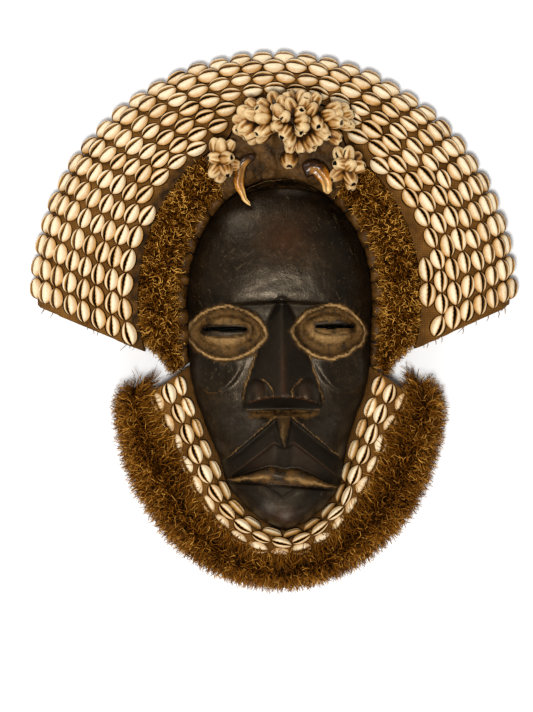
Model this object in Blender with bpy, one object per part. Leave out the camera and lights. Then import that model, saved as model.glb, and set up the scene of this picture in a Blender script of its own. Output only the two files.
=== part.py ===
"""A carved wooden face mask with a cowrie fan crest, fibre hair, a cowrie collar and a fibre beard.

The mask lies on its back. +X is the viewer's right, +Y runs from chin to crown and +Z comes out
of the face. Lengths are in metres. The face is carved on a grid of its own small units, so that
the carving keeps its proportions when the face's width, length or depth is changed.
"""

import math

import bmesh
import bpy
import numpy as np
from mathutils import Vector

# Wooden face
FACE_WIDTH = 0.148
FACE_LENGTH = 0.2824
FACE_DEPTH = 0.080
FACE_WALL = 0.009
FACE_EDGE_HEIGHT = 0.024
FACE_TRIANGLE_COUNT = 2400
FACE_ROW_COUNT = 190
FACE_COLUMN_COUNT = 96

# The face's grid: units across, up to the crown, down to the chin, and up to the tip of the nose
UNITS_WIDE = 185.0
CROWN_UNITS = 122.0
CHIN_UNITS = 231.0
UNITS_DEEP = 100.0
HOLLOW_UNITS = 62.0
CHIN_WALLS = 1.8

# Gaps: beside hard pieces, and beside soft sewn ones, whose outlines are cut into short chords
SHELL_GAP = 0.0003
SEWN_GAP = 0.0013

# Cowrie shells
SHELL_WIDTH = 0.0104
SHELL_HEIGHT = 0.0058
SHELL_PITCH = 0.0176

# Fan crest: its centre is measured from the face's centre
CREST_OFFSET_X = -0.0064
CREST_OFFSET_Y = 0.0040
CREST_ROW_WIDTH = 0.0108
CREST_ROW_SLOPES = (3.0, 3.0, 8.0, 8.0, 14.0, 26.0, 46.0, 68.0)
CREST_RIM_HEIGHT = 0.008
CREST_LINING = 0.018
CREST_SEGMENT_COUNT = 26
OPENING_SIDE_COUNT = 90
ROW_END_SHARE = 0.35
FIRST_ROW_SHIFT = 0.0040
LAST_ROW_SHIFT = 0.0016
WING_ANGLE = 23.7
WING_OFFSET = 0.0834

# Hair, bindings and crown pad, in the band between the face and the crest
BINDING_WIDTH = 0.0076
BINDING_HEIGHT = 0.030
BINDING_PINCH = 0.82
BINDING_FROM = -22.0
BINDING_TO = 61.5
BINDING_STEP = 6.5
HAIR_BAND = 0.0380
HAIR_HEIGHT = 0.050
HAIR_TIP = -34.0
HAIR_TAPER = -13.0
HAIR_TOP = 62.0
HAIR_TIP_WIDTH = 0.006
HAIR_STEP = 6.9
CROWN_PAD_HEIGHT = 0.048
CROWN_PAD_RISE = 0.025
CROWN_PAD_MIDDLE = 87.0
CROWN_PAD_REACH = 23.0
CROWN_PAD_EASE = 13.0
CROWN_PAD_GAP = 1.0
CROWN_PAD_STEP = 4.2
CREST_MARGIN = 0.0042

# Collar and beard
COLLAR_END = -36.0
COLLAR_CENTRE_Y = -0.048
COLLAR_SIDE = 0.0210
COLLAR_CHIN = 0.0215
COLLAR_FLARE = 0.012
COLLAR_FLARE_FROM = 36.0
COLLAR_FLARE_TO = 54.0
COLLAR_EDGE_HEIGHT = 0.023
COLLAR_HEIGHT = 0.031
COLLAR_OUTER_HEIGHT = 0.023
COLLAR_BANDS = (0.17, 0.40, 0.71, 1.0)
COLLAR_WALL_HEIGHT = 0.018
COLLAR_STEP = 3.3
COLLAR_SHELL_GAP = 0.0009
BEARD_END = -31.0
BEARD_CENTRE_Y = -0.080
BEARD_SIDE = 0.0564
BEARD_CHIN = 0.0456
BEARD_HEIGHT = 0.046
BEARD_CLEARING = 0.0055
BEARD_STEP = 6.2

# Cowrie bunches: their middles in face units, and their half sizes and shells in metres
BUNCH_MIDDLE = (13.5, 178.75)
BUNCH_HALF = (0.0360, 0.0135, 0.0095)
BUNCH_SIDES = {"left": (-57.5, 136.25), "right": (66.25, 134.4)}
BUNCH_SIDE_HALF = (0.0045, 0.0105, 0.0060)
BUNCH_SIDE_SHELL_LENGTH = 0.0055
BUNCH_SHELL_LENGTH = 0.0090
BUNCH_INSET = 0.0016
CROWN_SHELL = (9.5, 138.75)

# Teeth: points along the middle line from root to tip, in face units, and their thickness in metres
TOOTH_LEFT = ((-25.0, 143.1), (-37.5, 133.1), (-40.6, 116.2), (-35.6, 102.5), (-29.0, 93.1))
TOOTH_LEFT_WIDTHS = (0.0078, 0.0016)
TOOTH_RIGHT = ((23.8, 127.5), (33.1, 130.6), (41.9, 125.0), (46.9, 115.0), (48.1, 105.0))
TOOTH_RIGHT_WIDTHS = (0.0110, 0.0052)
TOOTH_SIDE_COUNT = 7

# Eyes: centre across and along, half length and half height, in units
LEFT_EYE = (-53.0, -33.2, 38.4, 26.0)
RIGHT_EYE = (49.8, -32.0, 36.0, 25.5)

# Slits: centre across and along, half length and half height, in units
LEFT_SLIT = (-54.7, -29.4, 22.4, 2.3)
RIGHT_SLIT = (55.5, -26.8, 19.5, 1.7)
SLIT_POINT_COUNT = 12

X_UNIT = FACE_WIDTH / UNITS_WIDE
Y_UNIT = FACE_LENGTH / (CROWN_UNITS + CHIN_UNITS)
Z_UNIT = FACE_DEPTH / UNITS_DEEP


def smooth_through(keys):
    """A function of one value that runs smoothly through the keys without overshooting them."""
    at, value = np.array(sorted(keys), float).T
    step = np.diff(at)
    slope = np.diff(value) / step
    tangent = np.empty_like(value)
    tangent[0] = slope[0]
    tangent[-1] = slope[-1]
    same_way = slope[:-1] * slope[1:] > 0
    safe = np.where(same_way, slope[:-1] + slope[1:], 1.0)
    tangent[1:-1] = np.where(same_way, 2 * slope[:-1] * slope[1:] / safe, 0.0)

    def curve(position):
        position = np.clip(position, at[0], at[-1])
        index = np.clip(np.searchsorted(at, position) - 1, 0, len(step) - 1)
        share = (position - at[index]) / step[index]
        rest = 1 - share
        return (
            value[index] * rest**2 * (1 + 2 * share)
            + value[index + 1] * share**2 * (3 - 2 * share)
            + tangent[index] * step[index] * share * rest**2
            - tangent[index + 1] * step[index] * share**2 * rest
        )

    return curve


def ramp(value, low, high):
    """0 below low, 1 above high and a smooth rise between them."""
    share = np.clip((value - low) / (high - low), 0, 1)
    return share * share * (3 - 2 * share)


# The jaw below the face's widest line: share of the way to the chin, share of half the width
JAW = ((0, 1), (0.29, 0.973), (0.411, 0.914), (0.511, 0.822), (0.68, 0.681), (0.797, 0.605), (0.883, 0.454),
       (0.957, 0.238), (1, 0))
jaw_half_width = smooth_through([(-share * CHIN_UNITS, width * UNITS_WIDE / 2) for share, width in JAW])

# The middle line's height without the nose: share of the way up or down, height in units
FOREHEAD = ((-0.07, 79), (0.05, 82), (0.18, 82), (0.36, 80), (0.57, 74), (0.78, 62), (0.92, 47), (1, 30))
LOWER_FACE = ((-1, 68), (0.043, 68), (0.303, 67), (0.433, 68), (0.541, 73), (0.693, 81), (0.887, 80),
              (0.952, 66), (1, 30))
forehead_height = smooth_through([(share * CROWN_UNITS, height) for share, height in FOREHEAD])
lower_height = smooth_through([(-share * CHIN_UNITS, height) for share, height in LOWER_FACE])

# The carving's own middle line, and half the nose's width, in units at heights in units
carving_middle = smooth_through([(0, 2.3), (-95, 3.0), (-146, 4.5), (-180, 3.5), (-196, 2.2)])
nose_side = smooth_through(
    [(-108, 38.5), (-98, 38), (-84, 35), (-77, 32.5), (-67, 29.5), (-53, 25), (-35, 18), (-21, 14), (-4, 6)]
)


def half_width(y):
    """Half the face's width at height y: an ellipse above the widest line and the jaw below it."""
    above = UNITS_WIDE / 2 * np.sqrt(np.clip(1 - (y / CROWN_UNITS) ** 2, 0, 1))
    return np.where(y > 0, above, jaw_half_width(np.minimum(y, 0)))


def lean(y):
    """The lower face leans to one side, as carved."""
    return 5.5 * ramp(-y, 120, 205)


def eye_oval(x, y, eye):
    """1 along an eye's pointed oval ring, less inside it and more outside it."""
    across = np.abs(x - eye[0]) / eye[2]
    along = np.abs(y - eye[1]) / eye[3]
    return (across**1.8 + along**1.55) ** 0.6


def eye_relief(x, y, eye, slit):
    """A pointed oval ring round a sunken socket, with two swelling lids and a slit between them."""
    oval = eye_oval(x, y, eye)
    ring = 3.0 * np.exp(-(((oval - 1.0) / 0.05) ** 2)) + 1.5 * np.exp(-np.clip(oval - 1, 0, None) / 0.12)
    socket = -7.5 * ramp(1.0 - oval, 0.0, 0.14)
    mound = ((x - eye[0]) / (0.74 * eye[2])) ** 2 + ((y - slit[1] + 2.5) / (0.62 * eye[3])) ** 2
    lids = 9.0 * np.sqrt(np.clip(1 - mound, 0, 1))
    leaf = np.sqrt(np.clip(1 - ((x - slit[0]) / (slit[2] + 4)) ** 2, 0, 1))
    above = y - slit[1]
    rims = 1.2 * np.exp(-(((above - 4.2 * leaf) / 1.2) ** 2)) + 1.4 * np.exp(-(((above + 4.6 * leaf) / 1.4) ** 2))
    crease = -2.2 * np.exp(-(((above + 8.4 * leaf) / 0.9) ** 2)) - 1.6 * np.exp(-(((above - 8.0 * leaf) / 0.9) ** 2))
    groove = -3.5 * np.exp(-((above / 2.0) ** 2))
    detail = (rims + crease + groove) * ramp(leaf, 0.1, 0.5)
    return np.where(oval < 1.6, ring + socket + lids + detail, 0.0)


def wing_arc(aside, y):
    """0 along the carved arc that parts each nostril wing from the ridge, in units across it."""
    return np.hypot((aside - 24.5) * 1.2, y + 97) - 18.5


def nose_edge(aside):
    """Height of the front edge of the nose's underside."""
    return -96.3 - 0.0054 * aside**2


def nose_relief(aside, y):
    """A straight wedge that widens from the brow, with two rounded wings and a hollow underside."""
    reach = np.clip((-2 - y) / 95, 0, 1)
    ridge = 5 + 27 * reach**1.05
    wedge = ridge * np.clip(1 - (aside / nose_side(y)) ** 1.2, 0, 1) ** 0.85
    wing = ((aside - 24) / 14.8) ** 2 + (np.clip(y + 97, 0, None) / 19.5) ** 2
    wings = 24 * np.clip(1 - wing, 0, 1) ** 0.38
    groove = -2.4 * np.exp(-((wing_arc(aside, y) / 1.3) ** 2)) * ramp(22 - aside, 0, 3) * ramp(y, -98, -94)
    under = np.clip((y + 108.6) / (nose_edge(aside) + 108.6), 0, 1)
    cut = np.where(y < nose_edge(aside), 0.82 * under**1.3, 1.0)
    return np.where(y < 4, (np.maximum(wedge, wings) + groove) * cut * ramp(-y, -4, 3), 0.0)


def cheek_line(x):
    """Height of the curved lower edge of the cheekbone's swell."""
    return -92.5 + 0.028 * (np.abs(x) - 66) ** 2


def cheek_relief(x, y):
    """A low swell over each cheekbone, which breaks off along its lower edge."""
    swell = 4.5 * ramp(y - cheek_line(x), -1.2, 1.2) * np.exp(-np.clip(y - cheek_line(x), 0, None) / 22)
    return swell * ramp(33 - np.abs(np.abs(x) - 63), 0, 14) * ramp(-y, 44, 58)


def muzzle_lines(aside, tilt):
    """The two chevrons, the upper edge of the lip and the mouth, as heights across the face."""
    first = -115.6 - 0.86 * np.clip(aside - 7.5, 0, None)
    second = -146.3 + 4.6 * ramp(aside, 0, 10.2) - 0.78 * np.clip(aside - 10.2, 0, None)
    lip = -166.2 - 0.384 * np.clip(aside - 15, 0, None) - 1.5 * ramp(8 - aside, 0, 6) - tilt
    mouth = -181.8 - 0.05 * aside - tilt
    return first, second, np.minimum(lip, second - 0.5), np.minimum(mouth, second - 1.0)


def philtrum_half(y):
    """Half the width of the strip that narrows from the nose down to the lower chevron."""
    return np.clip(9.9 + (y + 109) * 0.215, 1.2, 9.9)


def muzzle_relief(x, y):
    """Chevron terraces under the nose, slanting down to full lips and a split lower lip."""
    across = x - carving_middle(y)
    aside = np.abs(across)
    first, second, lip, mouth = muzzle_lines(aside, 0.07 * across)
    band_share = np.clip((first - y) / (first - second), 0, 1)
    slant_share = np.clip((second - y) / np.maximum(second - lip, 0.5), 0, 1)
    lip_share = np.clip((lip - y) / np.maximum(lip - mouth, 0.5), 0, 1)
    under = np.clip(mouth - y, 0, None)
    fold = y + 196.5 - 0.62 * aside
    above = 9.5 * np.exp(-np.clip(y - first, 0, None) / 15)
    band = 9.5 - 7.5 * ramp(band_share, 0, 0.2) + 5.5 * band_share**1.5
    slant = 7.5 - 4.0 * ramp(slant_share, 0, 0.15) - 8.5 * slant_share
    lips = -5.0 + 3.5 * ramp(lip_share, 0, 0.2) + 5.0 * np.sin(np.pi * np.clip(lip_share, 0, 0.85))
    below = -3.2 + 6.6 * ramp(under, 0.8, 4) - 4.0 * ramp(under, 8, 24)
    below = below + 0.8 * np.exp(-((fold / 1.3) ** 2)) * ramp(24 - aside, 0, 6) - 1.2 * ramp(fold, 0, 4)
    relief = np.where(y > first, above, band)
    relief = np.where(y > second, relief, slant)
    relief = np.where(y > lip, relief, lips)
    relief = np.where(y > mouth, relief, below)
    strip = 4.0 * ramp(philtrum_half(y) - aside, -1.5, 1.5)
    relief = relief + np.where((y > second) & (y < first), strip, 0)
    return relief * ramp(63 - aside, 0, 10) * ramp(-y, 106, 118)


def crown_ledge(x, y):
    """A step down from the forehead to a narrow ledge along the crown."""
    beyond = y - CROWN_UNITS + 10.6 + 0.004 * (x - 3) ** 2
    return -5.0 * ramp(beyond, -0.7, 0.9) * ramp(44 - np.abs(x - 3), 0, 14)


def face_height(x, y):
    """Height of the carved front over the back plane, in units, at points in units."""
    share = np.clip(np.abs(x - lean(y)) / np.maximum(half_width(y), 1e-6), 0, 1)
    edge_height = FACE_EDGE_HEIGHT / Z_UNIT
    dome = (1 - share**2.5) ** 0.55
    brow_softness = 1.8 + 26 * ramp(np.abs(x), 46, 84)
    brow = ramp(y + 2.2 + 0.06 * np.abs(x - 2), -brow_softness, brow_softness)
    middle = lower_height(y) * (1 - brow) + forehead_height(y) * brow
    height = edge_height + (middle - edge_height) * dome
    inside = ramp(1 - share, 0, 0.10)
    carving = nose_relief(np.abs(x - carving_middle(y)), y) + cheek_relief(x, y) + muzzle_relief(x, y)
    carving = carving + eye_relief(x, y, LEFT_EYE, LEFT_SLIT) + eye_relief(x, y, RIGHT_EYE, RIGHT_SLIT)
    return height + carving * inside + crown_ledge(x, y)


def hollow_height(x, y, wall_x, wall_y):
    """Height of the hollow back over the back plane, in units: a plain dome under the front."""
    wall_z = FACE_WALL / Z_UNIT
    end_share = np.where(y > 0, y / (CROWN_UNITS - wall_y), -y / (CHIN_UNITS - CHIN_WALLS * wall_y))
    side = np.maximum(half_width(y) - wall_x, 1e-6)
    share = np.clip(np.abs(x - lean(y)) / side, 0, 1)
    ends = np.sqrt(np.clip(1 - np.abs(end_share) ** 3, 0, 1))
    return (HOLLOW_UNITS - wall_z) * (1 - share**2.5) ** 0.5 * ends


def to_metres(x, y, z):
    return np.stack([x * X_UNIT, y * Y_UNIT, z * Z_UNIT], axis=-1)


def outline_rows(top, bottom, count):
    """Heights of the rows from the crown to the chin, closer together where the outline turns."""
    turn = np.linspace(0, math.pi, count + 1)
    middle = (top + bottom) / 2
    return middle + (top - bottom) / 2 * np.cos(turn)


def add_object(name, mesh, colour, roughness, metallic=0.0, smooth_angle=None):
    """A named object for a sub-part, with a material of its own."""
    material = bpy.data.materials.new(name)
    material.use_nodes = True
    shader = material.node_tree.nodes["Principled BSDF"]
    shader.inputs["Base Color"].default_value = (*colour, 1.0)
    shader.inputs["Roughness"].default_value = roughness
    shader.inputs["Metallic"].default_value = metallic
    mesh.materials.append(material)
    if smooth_angle is not None:
        mesh.shade_smooth()
        mesh.set_sharp_from_angle(angle=math.radians(smooth_angle))
    piece = bpy.data.objects.new(name, mesh)
    bpy.context.scene.collection.objects.link(piece)
    return piece


def mesh_from(name, points, faces):
    """A mesh whose faces all point out."""
    mesh = bpy.data.meshes.new(name)
    mesh.from_pydata([tuple(point) for point in points], [], faces)
    form = bmesh.new()
    form.from_mesh(mesh)
    bmesh.ops.recalc_face_normals(form, faces=form.faces)
    form.to_mesh(mesh)
    form.free()
    return mesh


def cut_with(piece, cutter):
    """Cuts the cutter's shape out of the piece."""
    cutter.hide_render = True
    cutter.display_type = "WIRE"
    modifier = piece.modifiers.new("cut_" + cutter.name, "BOOLEAN")
    modifier.operation = "DIFFERENCE"
    modifier.object = cutter


def prism(name, outline, low, high):
    """An upright prism over an outline of (x, y) points, as a cutter."""
    count = len(outline)
    points = [(x, y, low) for x, y in outline] + [(x, y, high) for x, y in outline]
    faces = [tuple(range(count)), tuple(range(count, 2 * count))]
    faces += [(i, (i + 1) % count, count + (i + 1) % count, count + i) for i in range(count)]
    cutter = bpy.data.objects.new(name, mesh_from(name, points, faces))
    bpy.context.scene.collection.objects.link(cutter)
    return cutter


def dome_grid(rows, sides, height, first):
    """Points and faces of a dome over the outline: one point at each end and a row for each step."""
    shares = np.sin(np.linspace(-math.pi / 2, math.pi / 2, FACE_COLUMN_COUNT + 1))
    points = [np.array([[lean(rows[0]), rows[0], 0.0]])]
    for y, side in zip(rows[1:-1], sides[1:-1]):
        x = lean(y) + shares * side
        points.append(np.stack([x, np.full_like(x, y), np.zeros_like(x)], axis=-1))
    points.append(np.array([[lean(rows[-1]), rows[-1], 0.0]]))
    points = np.concatenate(points)
    points[:, 2] = height(points[:, 0], points[:, 1])
    width = FACE_COLUMN_COUNT + 1
    last = first + 1 + (len(rows) - 2) * width
    faces = []
    for column in range(FACE_COLUMN_COUNT):
        start = first + 1 + column
        faces.append((first, start, start + 1))
        end = last - width + column
        faces.append((last, end + 1, end))
    for row in range(len(rows) - 3):
        for column in range(FACE_COLUMN_COUNT):
            start = first + 1 + row * width + column
            faces.append((start, start + width, start + width + 1, start + 1))
    right = [first + 1 + row * width + FACE_COLUMN_COUNT for row in range(len(rows) - 2)]
    left = [first + 1 + row * width for row in range(len(rows) - 2)]
    loop = [first] + right + [last] + left[::-1]
    return points, faces, loop


def build_face():
    """The hollow wooden shell: carved front, upright side wall, flat back rim and plain inside."""
    wall_x = FACE_WALL / X_UNIT
    wall_y = FACE_WALL / Y_UNIT
    rows = outline_rows(CROWN_UNITS, -CHIN_UNITS, FACE_ROW_COUNT)
    front, faces, front_loop = dome_grid(rows, half_width(rows), face_height, 0)
    edge = front[front_loop].copy()
    edge[:, 2] = 0.0
    inner_rows = outline_rows(CROWN_UNITS - wall_y, -CHIN_UNITS + CHIN_WALLS * wall_y, FACE_ROW_COUNT)
    inner_sides = np.maximum(half_width(inner_rows) - wall_x, 0.0)

    def inner(x, y):
        return hollow_height(x, y, wall_x, wall_y)

    count = len(front)
    hollow, hollow_faces, hollow_loop = dome_grid(inner_rows, inner_sides, inner, count + len(edge))
    hollow_edge = [index - count - len(edge) for index in hollow_loop]
    hollow[hollow_edge, 2] = 0.0
    points = np.concatenate([front, edge, hollow])
    size = len(front_loop)
    for i in range(size):
        j = (i + 1) % size
        faces.append((front_loop[i], count + i, count + j, front_loop[j]))
        faces.append((count + i, hollow_loop[i], hollow_loop[j], count + j))
    points = to_metres(points[:, 0], points[:, 1], points[:, 2])
    face = add_object("face", mesh_from("face", points, faces + hollow_faces), (0.018, 0.013, 0.010), 0.32)
    total = 2 * (len(faces) + len(hollow_faces))
    thin = face.modifiers.new("fewer_faces", "DECIMATE")
    thin.ratio = FACE_TRIANGLE_COUNT / total
    for name, slit in (("slit_left", LEFT_SLIT), ("slit_right", RIGHT_SLIT)):
        turn = np.linspace(0, 2 * math.pi, SLIT_POINT_COUNT, endpoint=False)
        x = (slit[0] + slit[2] * np.cos(turn)) * X_UNIT
        y = (slit[1] + slit[3] * np.sin(turn)) * Y_UNIT
        cut_with(face, prism(name, list(zip(x, y)), -FACE_WALL, FACE_DEPTH + FACE_WALL))
    return face


OUTLINE_Y = outline_rows(CROWN_UNITS, -CHIN_UNITS, 400)
OUTLINE_RIGHT = np.stack([(lean(OUTLINE_Y) + half_width(OUTLINE_Y)) * X_UNIT, OUTLINE_Y * Y_UNIT], axis=-1)
OUTLINE_LEFT = np.stack([(lean(OUTLINE_Y) - half_width(OUTLINE_Y)) * X_UNIT, OUTLINE_Y * Y_UNIT], axis=-1)


def face_radius(angle):
    """Distance from the face's centre to its outline, at angles in radians from +X."""
    around = np.concatenate([OUTLINE_RIGHT[::-1], OUTLINE_LEFT[1:-1]])
    turn = np.unwrap(np.arctan2(around[:, 1], around[:, 0]))
    reach = np.hypot(around[:, 0], around[:, 1])
    start = turn[0]
    return np.interp((angle - start) % (2 * math.pi), turn - start, reach, period=2 * math.pi)


def ellipse_radius(angle, centre_y, side, end):
    """Distance along a ray from the face's centre to an ellipse whose centre is at centre_y."""
    a = (np.cos(angle) / side) ** 2 + (np.sin(angle) / end) ** 2
    b = -2 * np.sin(angle) * centre_y / end**2
    c = (centre_y / end) ** 2 - 1
    return (-b + np.sqrt(b * b - 4 * a * c)) / (2 * a)


def hair_radius(angle):
    """Outer edge of the hair."""
    return ellipse_radius(angle, 0.0, FACE_WIDTH / 2 + HAIR_BAND, CROWN_UNITS * Y_UNIT + HAIR_BAND)


def opening_radius(angle):
    """Outer edge of the hair, and of the crown pad where it rises over the first rows of shells."""
    from_middle = np.abs(np.degrees(angle) - CROWN_PAD_MIDDLE)
    return hair_radius(angle) + CROWN_PAD_RISE * ramp(CROWN_PAD_REACH - from_middle, 0, CROWN_PAD_EASE)


def collar_radius(angle):
    """Outer edge of the collar, which flares at its two ends."""
    drop = CHIN_UNITS * Y_UNIT + COLLAR_CENTRE_Y + COLLAR_CHIN
    plain = ellipse_radius(angle, COLLAR_CENTRE_Y, FACE_WIDTH / 2 + COLLAR_SIDE, drop)
    from_chin = np.abs(np.degrees(angle) + 90)
    return plain + COLLAR_FLARE * ramp(from_chin, COLLAR_FLARE_FROM, COLLAR_FLARE_TO)


def beard_radius(angle):
    """Outer edge of the beard."""
    drop = CHIN_UNITS * Y_UNIT + BEARD_CENTRE_Y + BEARD_CHIN
    return ellipse_radius(angle, BEARD_CENTRE_Y, FACE_WIDTH / 2 + BEARD_SIDE, drop)


def sweep(name, angles, section, colour, roughness, smooth_angle=40):
    """A solid swept about the face's centre: section(angle, share) gives (radius, height) points."""
    points = []
    for place, angle in enumerate(angles):
        for radius, height in section(angle, place / (len(angles) - 1)):
            points.append((radius * math.cos(angle), radius * math.sin(angle), height))
    size = len(points) // len(angles)
    faces = [tuple(range(size)), tuple(range(len(points) - size, len(points)))]
    for place in range(len(angles) - 1):
        for corner in range(size):
            near = place * size + corner
            side = place * size + (corner + 1) % size
            faces.append((near, side, side + size, near + size))
    return add_object(name, mesh_from(name, points, faces), colour, roughness, smooth_angle=smooth_angle)


def rounded(share, reach):
    """1 along a piece and falling to a half at its two ends, over the given share of its length."""
    end = min(share, 1 - share) / reach
    return 1.0 if end >= 1 else 0.45 + 0.55 * math.sqrt(1 - (1 - end) ** 2)


def mirrored(angles):
    """The same angles on the other side of the face."""
    return [math.pi - angle for angle in angles][::-1]


def spaced(start, end, step):
    """Angles in radians from start to end, given in degrees, no more than a step apart."""
    count = math.ceil(abs(end - start) / step)
    return [math.radians(start + (end - start) * place / count) for place in range(count + 1)]


def hair_section(angle, share):
    """Fringe section, which narrows to a rounded tip beside the jaw."""
    turn = math.degrees(angle if math.cos(angle) > 0 else math.pi - angle)
    inner = float(face_radius(angle)) + SEWN_GAP + BINDING_WIDTH + SEWN_GAP
    tip = float(ramp(turn, HAIR_TIP, HAIR_TAPER))
    outer = float(hair_radius(angle)) * tip + (inner + HAIR_TIP_WIDTH) * (1 - tip)
    width = outer - inner
    height = HAIR_HEIGHT * (0.6 + 0.4 * tip)
    return [
        (inner, 0.0),
        (inner, 0.62 * height),
        (inner + 0.22 * width, 0.93 * height),
        (inner + 0.55 * width, height),
        (inner + 0.86 * width, 0.86 * height),
        (outer, 0.55 * height),
        (outer, 0.0),
    ]


def binding_sections(angles):
    """Hide roll sections, pinched where each stitch draws the roll in."""

    def section(angle, share):
        inner = float(face_radius(angle)) + SEWN_GAP
        pinch = BINDING_PINCH if round(share * (len(angles) - 1)) % 2 == 0 else 1.0
        height = BINDING_HEIGHT * (0.5 + 0.5 * pinch)
        width = BINDING_WIDTH * pinch
        return [
            (inner, 0.0),
            (inner, height - 0.45 * width),
            (inner + 0.45 * width, height),
            (inner + width, height - 0.4 * width),
            (inner + width, 0.0),
        ]

    return section


def crown_pad_section(angle, share):
    """Rough pad section above the forehead, lumpy along its length."""
    inner = float(face_radius(angle)) + SEWN_GAP
    outer = float(opening_radius(angle))
    width = outer - inner
    lump = 0.95 + 0.05 * math.sin(17 * angle)
    height = CROWN_PAD_HEIGHT * lump
    return [
        (inner, 0.0),
        (inner, 0.66 * height),
        (inner + 0.2 * width, 0.9 * height),
        (inner + 0.55 * width, height),
        (inner + 0.88 * width, 0.93 * height),
        (outer, 0.8 * height),
        (outer, 0.0),
    ]


def collar_profile(angle):
    """Radius and height of the collar's four upper edges: one band between two edges for each row."""
    inner = float(face_radius(angle)) + SEWN_GAP
    width = float(collar_radius(angle)) - inner
    heights = (COLLAR_EDGE_HEIGHT, COLLAR_HEIGHT, COLLAR_HEIGHT, COLLAR_OUTER_HEIGHT)
    return [(inner + share * width, height) for share, height in zip(COLLAR_BANDS, heights)]


def collar_section(angle, share):
    inner = float(face_radius(angle)) + SEWN_GAP
    profile = collar_profile(angle)
    return [(inner, 0.0), (inner, COLLAR_WALL_HEIGHT)] + profile + [(profile[-1][0], 0.0)]


def beard_section(angle, share):
    """Beard section: steep beside the collar and falling away to a low outer edge."""
    inner = float(collar_radius(angle)) + SEWN_GAP
    width = float(beard_radius(angle)) - inner
    height = BEARD_HEIGHT * rounded(share, 0.06)
    width = width * (0.6 + 0.4 * rounded(share, 0.05))
    return [
        (inner, 0.0),
        (inner, 0.36 * height),
        (inner + BEARD_CLEARING, 0.66 * height),
        (inner + BEARD_CLEARING + 0.12 * width, 0.93 * height),
        (inner + 0.5 * width, height),
        (inner + 0.8 * width, 0.8 * height),
        (inner + width, 0.42 * height),
        (inner + 0.97 * width, 0.0),
    ]


def crest_profile():
    """Radius, height and sideways shift at each edge between two rows, from the inside out."""
    slopes = np.radians(CREST_ROW_SLOPES)
    drop = np.concatenate([[0], np.cumsum(CREST_ROW_WIDTH * np.sin(slopes))])
    start = FACE_WIDTH / 2 + HAIR_BAND + CREST_MARGIN
    radius = start + np.concatenate([[0], np.cumsum(CREST_ROW_WIDTH * np.cos(slopes))])
    height = CREST_RIM_HEIGHT + drop[-1] - drop
    shift = np.linspace(FIRST_ROW_SHIFT, LAST_ROW_SHIFT, len(radius))
    return radius, height, shift


def wing_end(radius):
    """Angle below the horizontal at which the crest's straight lower edge meets a radius."""
    return math.radians(WING_ANGLE) - math.asin(min(WING_OFFSET / radius, 1.0))


def crest_point(radius, height, shift, angle):
    return (
        CREST_OFFSET_X + shift + radius * math.cos(angle),
        CREST_OFFSET_Y + radius * math.sin(angle),
        height,
    )


def build_crest():
    """The stuffed fan: a band for each row of shells, an upright rim and a flat back."""
    radius, height, shift = crest_profile()
    last = len(radius) - 1
    bends = [i for i in range(1, last) if CREST_ROW_SLOPES[i - 1] != CREST_ROW_SLOPES[i]]
    keep = [0] + bends + [last]
    rings = [(radius[0] - CREST_LINING, height[0], shift[0])]
    rings += [(radius[i], height[i], shift[i]) for i in keep]
    rings.append((radius[-1], 0.0, shift[-1]))
    rings.append((radius[0] - CREST_LINING, 0.0, shift[0]))
    points = []
    for place in range(CREST_SEGMENT_COUNT + 1):
        for ring_radius, ring_height, ring_shift in rings:
            start = wing_end(ring_radius)
            angle = start + (math.pi - 2 * start) * place / CREST_SEGMENT_COUNT
            points.append(crest_point(ring_radius, ring_height, ring_shift, angle))
    size = len(rings)
    faces = [tuple(range(size)), tuple(range(len(points) - size, len(points)))]
    for place in range(CREST_SEGMENT_COUNT):
        for corner in range(size):
            near = place * size + corner
            side = place * size + (corner + 1) % size
            faces.append((near, side, side + size, near + size))
    crest = add_object("crest", mesh_from("crest", points, faces), (0.17, 0.10, 0.045), 0.9, smooth_angle=30)
    turn = np.linspace(0, 2 * math.pi, OPENING_SIDE_COUNT, endpoint=False)
    reach = opening_radius(turn) + SEWN_GAP
    outline = list(zip(reach * np.cos(turn), reach * np.sin(turn)))
    cut_with(crest, prism("hair_opening", outline, -FACE_WALL, FACE_DEPTH))
    return crest


SHELL_COLOUR = (0.86, 0.74, 0.54)
BUNCH_COLOUR = (0.70, 0.50, 0.28)

# A shell along its length: place, share of its width, share of its height
SHELL_RINGS = ((0.0, 0.22, 0.30), (0.28, 1.0, 1.0), (0.70, 0.84, 0.88))
PLAIN_RINGS = ((0.0, 0.25, 0.30), (0.45, 1.0, 1.0))


def shell_chain(name, frames, gap=SHELL_GAP, rings=SHELL_RINGS):
    """Shells sewn end to end: frames(place) gives a point, its across and out vectors and a width."""
    count, frame = frames
    points = []
    for shell in range(count):
        for along, width_share, height_share in rings:
            points += shell_ring(frame(shell + along), gap, width_share, height_share)
    points += shell_ring(frame(float(count)), gap, *rings[0][1:])
    faces = [(0, 1, 2), tuple(range(len(points) - 3, len(points)))]
    for place in range(len(points) // 3 - 1):
        for corner in range(3):
            near = place * 3 + corner
            side = place * 3 + (corner + 1) % 3
            faces.append((near, side, side + 3, near + 3))
    return add_object(name, mesh_from(name, points, faces), SHELL_COLOUR, 0.35, smooth_angle=25)


def shell_ring(frame, gap, width_share, height_share):
    """Two points on the cloth and one on the shell's back, round a point of the row."""
    centre, across, out, width = frame
    base = centre + out * gap
    half = across * (width * width_share / 2)
    top = base + out * (SHELL_HEIGHT * height_share * width / SHELL_WIDTH)
    return [tuple(base - half), tuple(base + half), tuple(top)]


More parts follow.
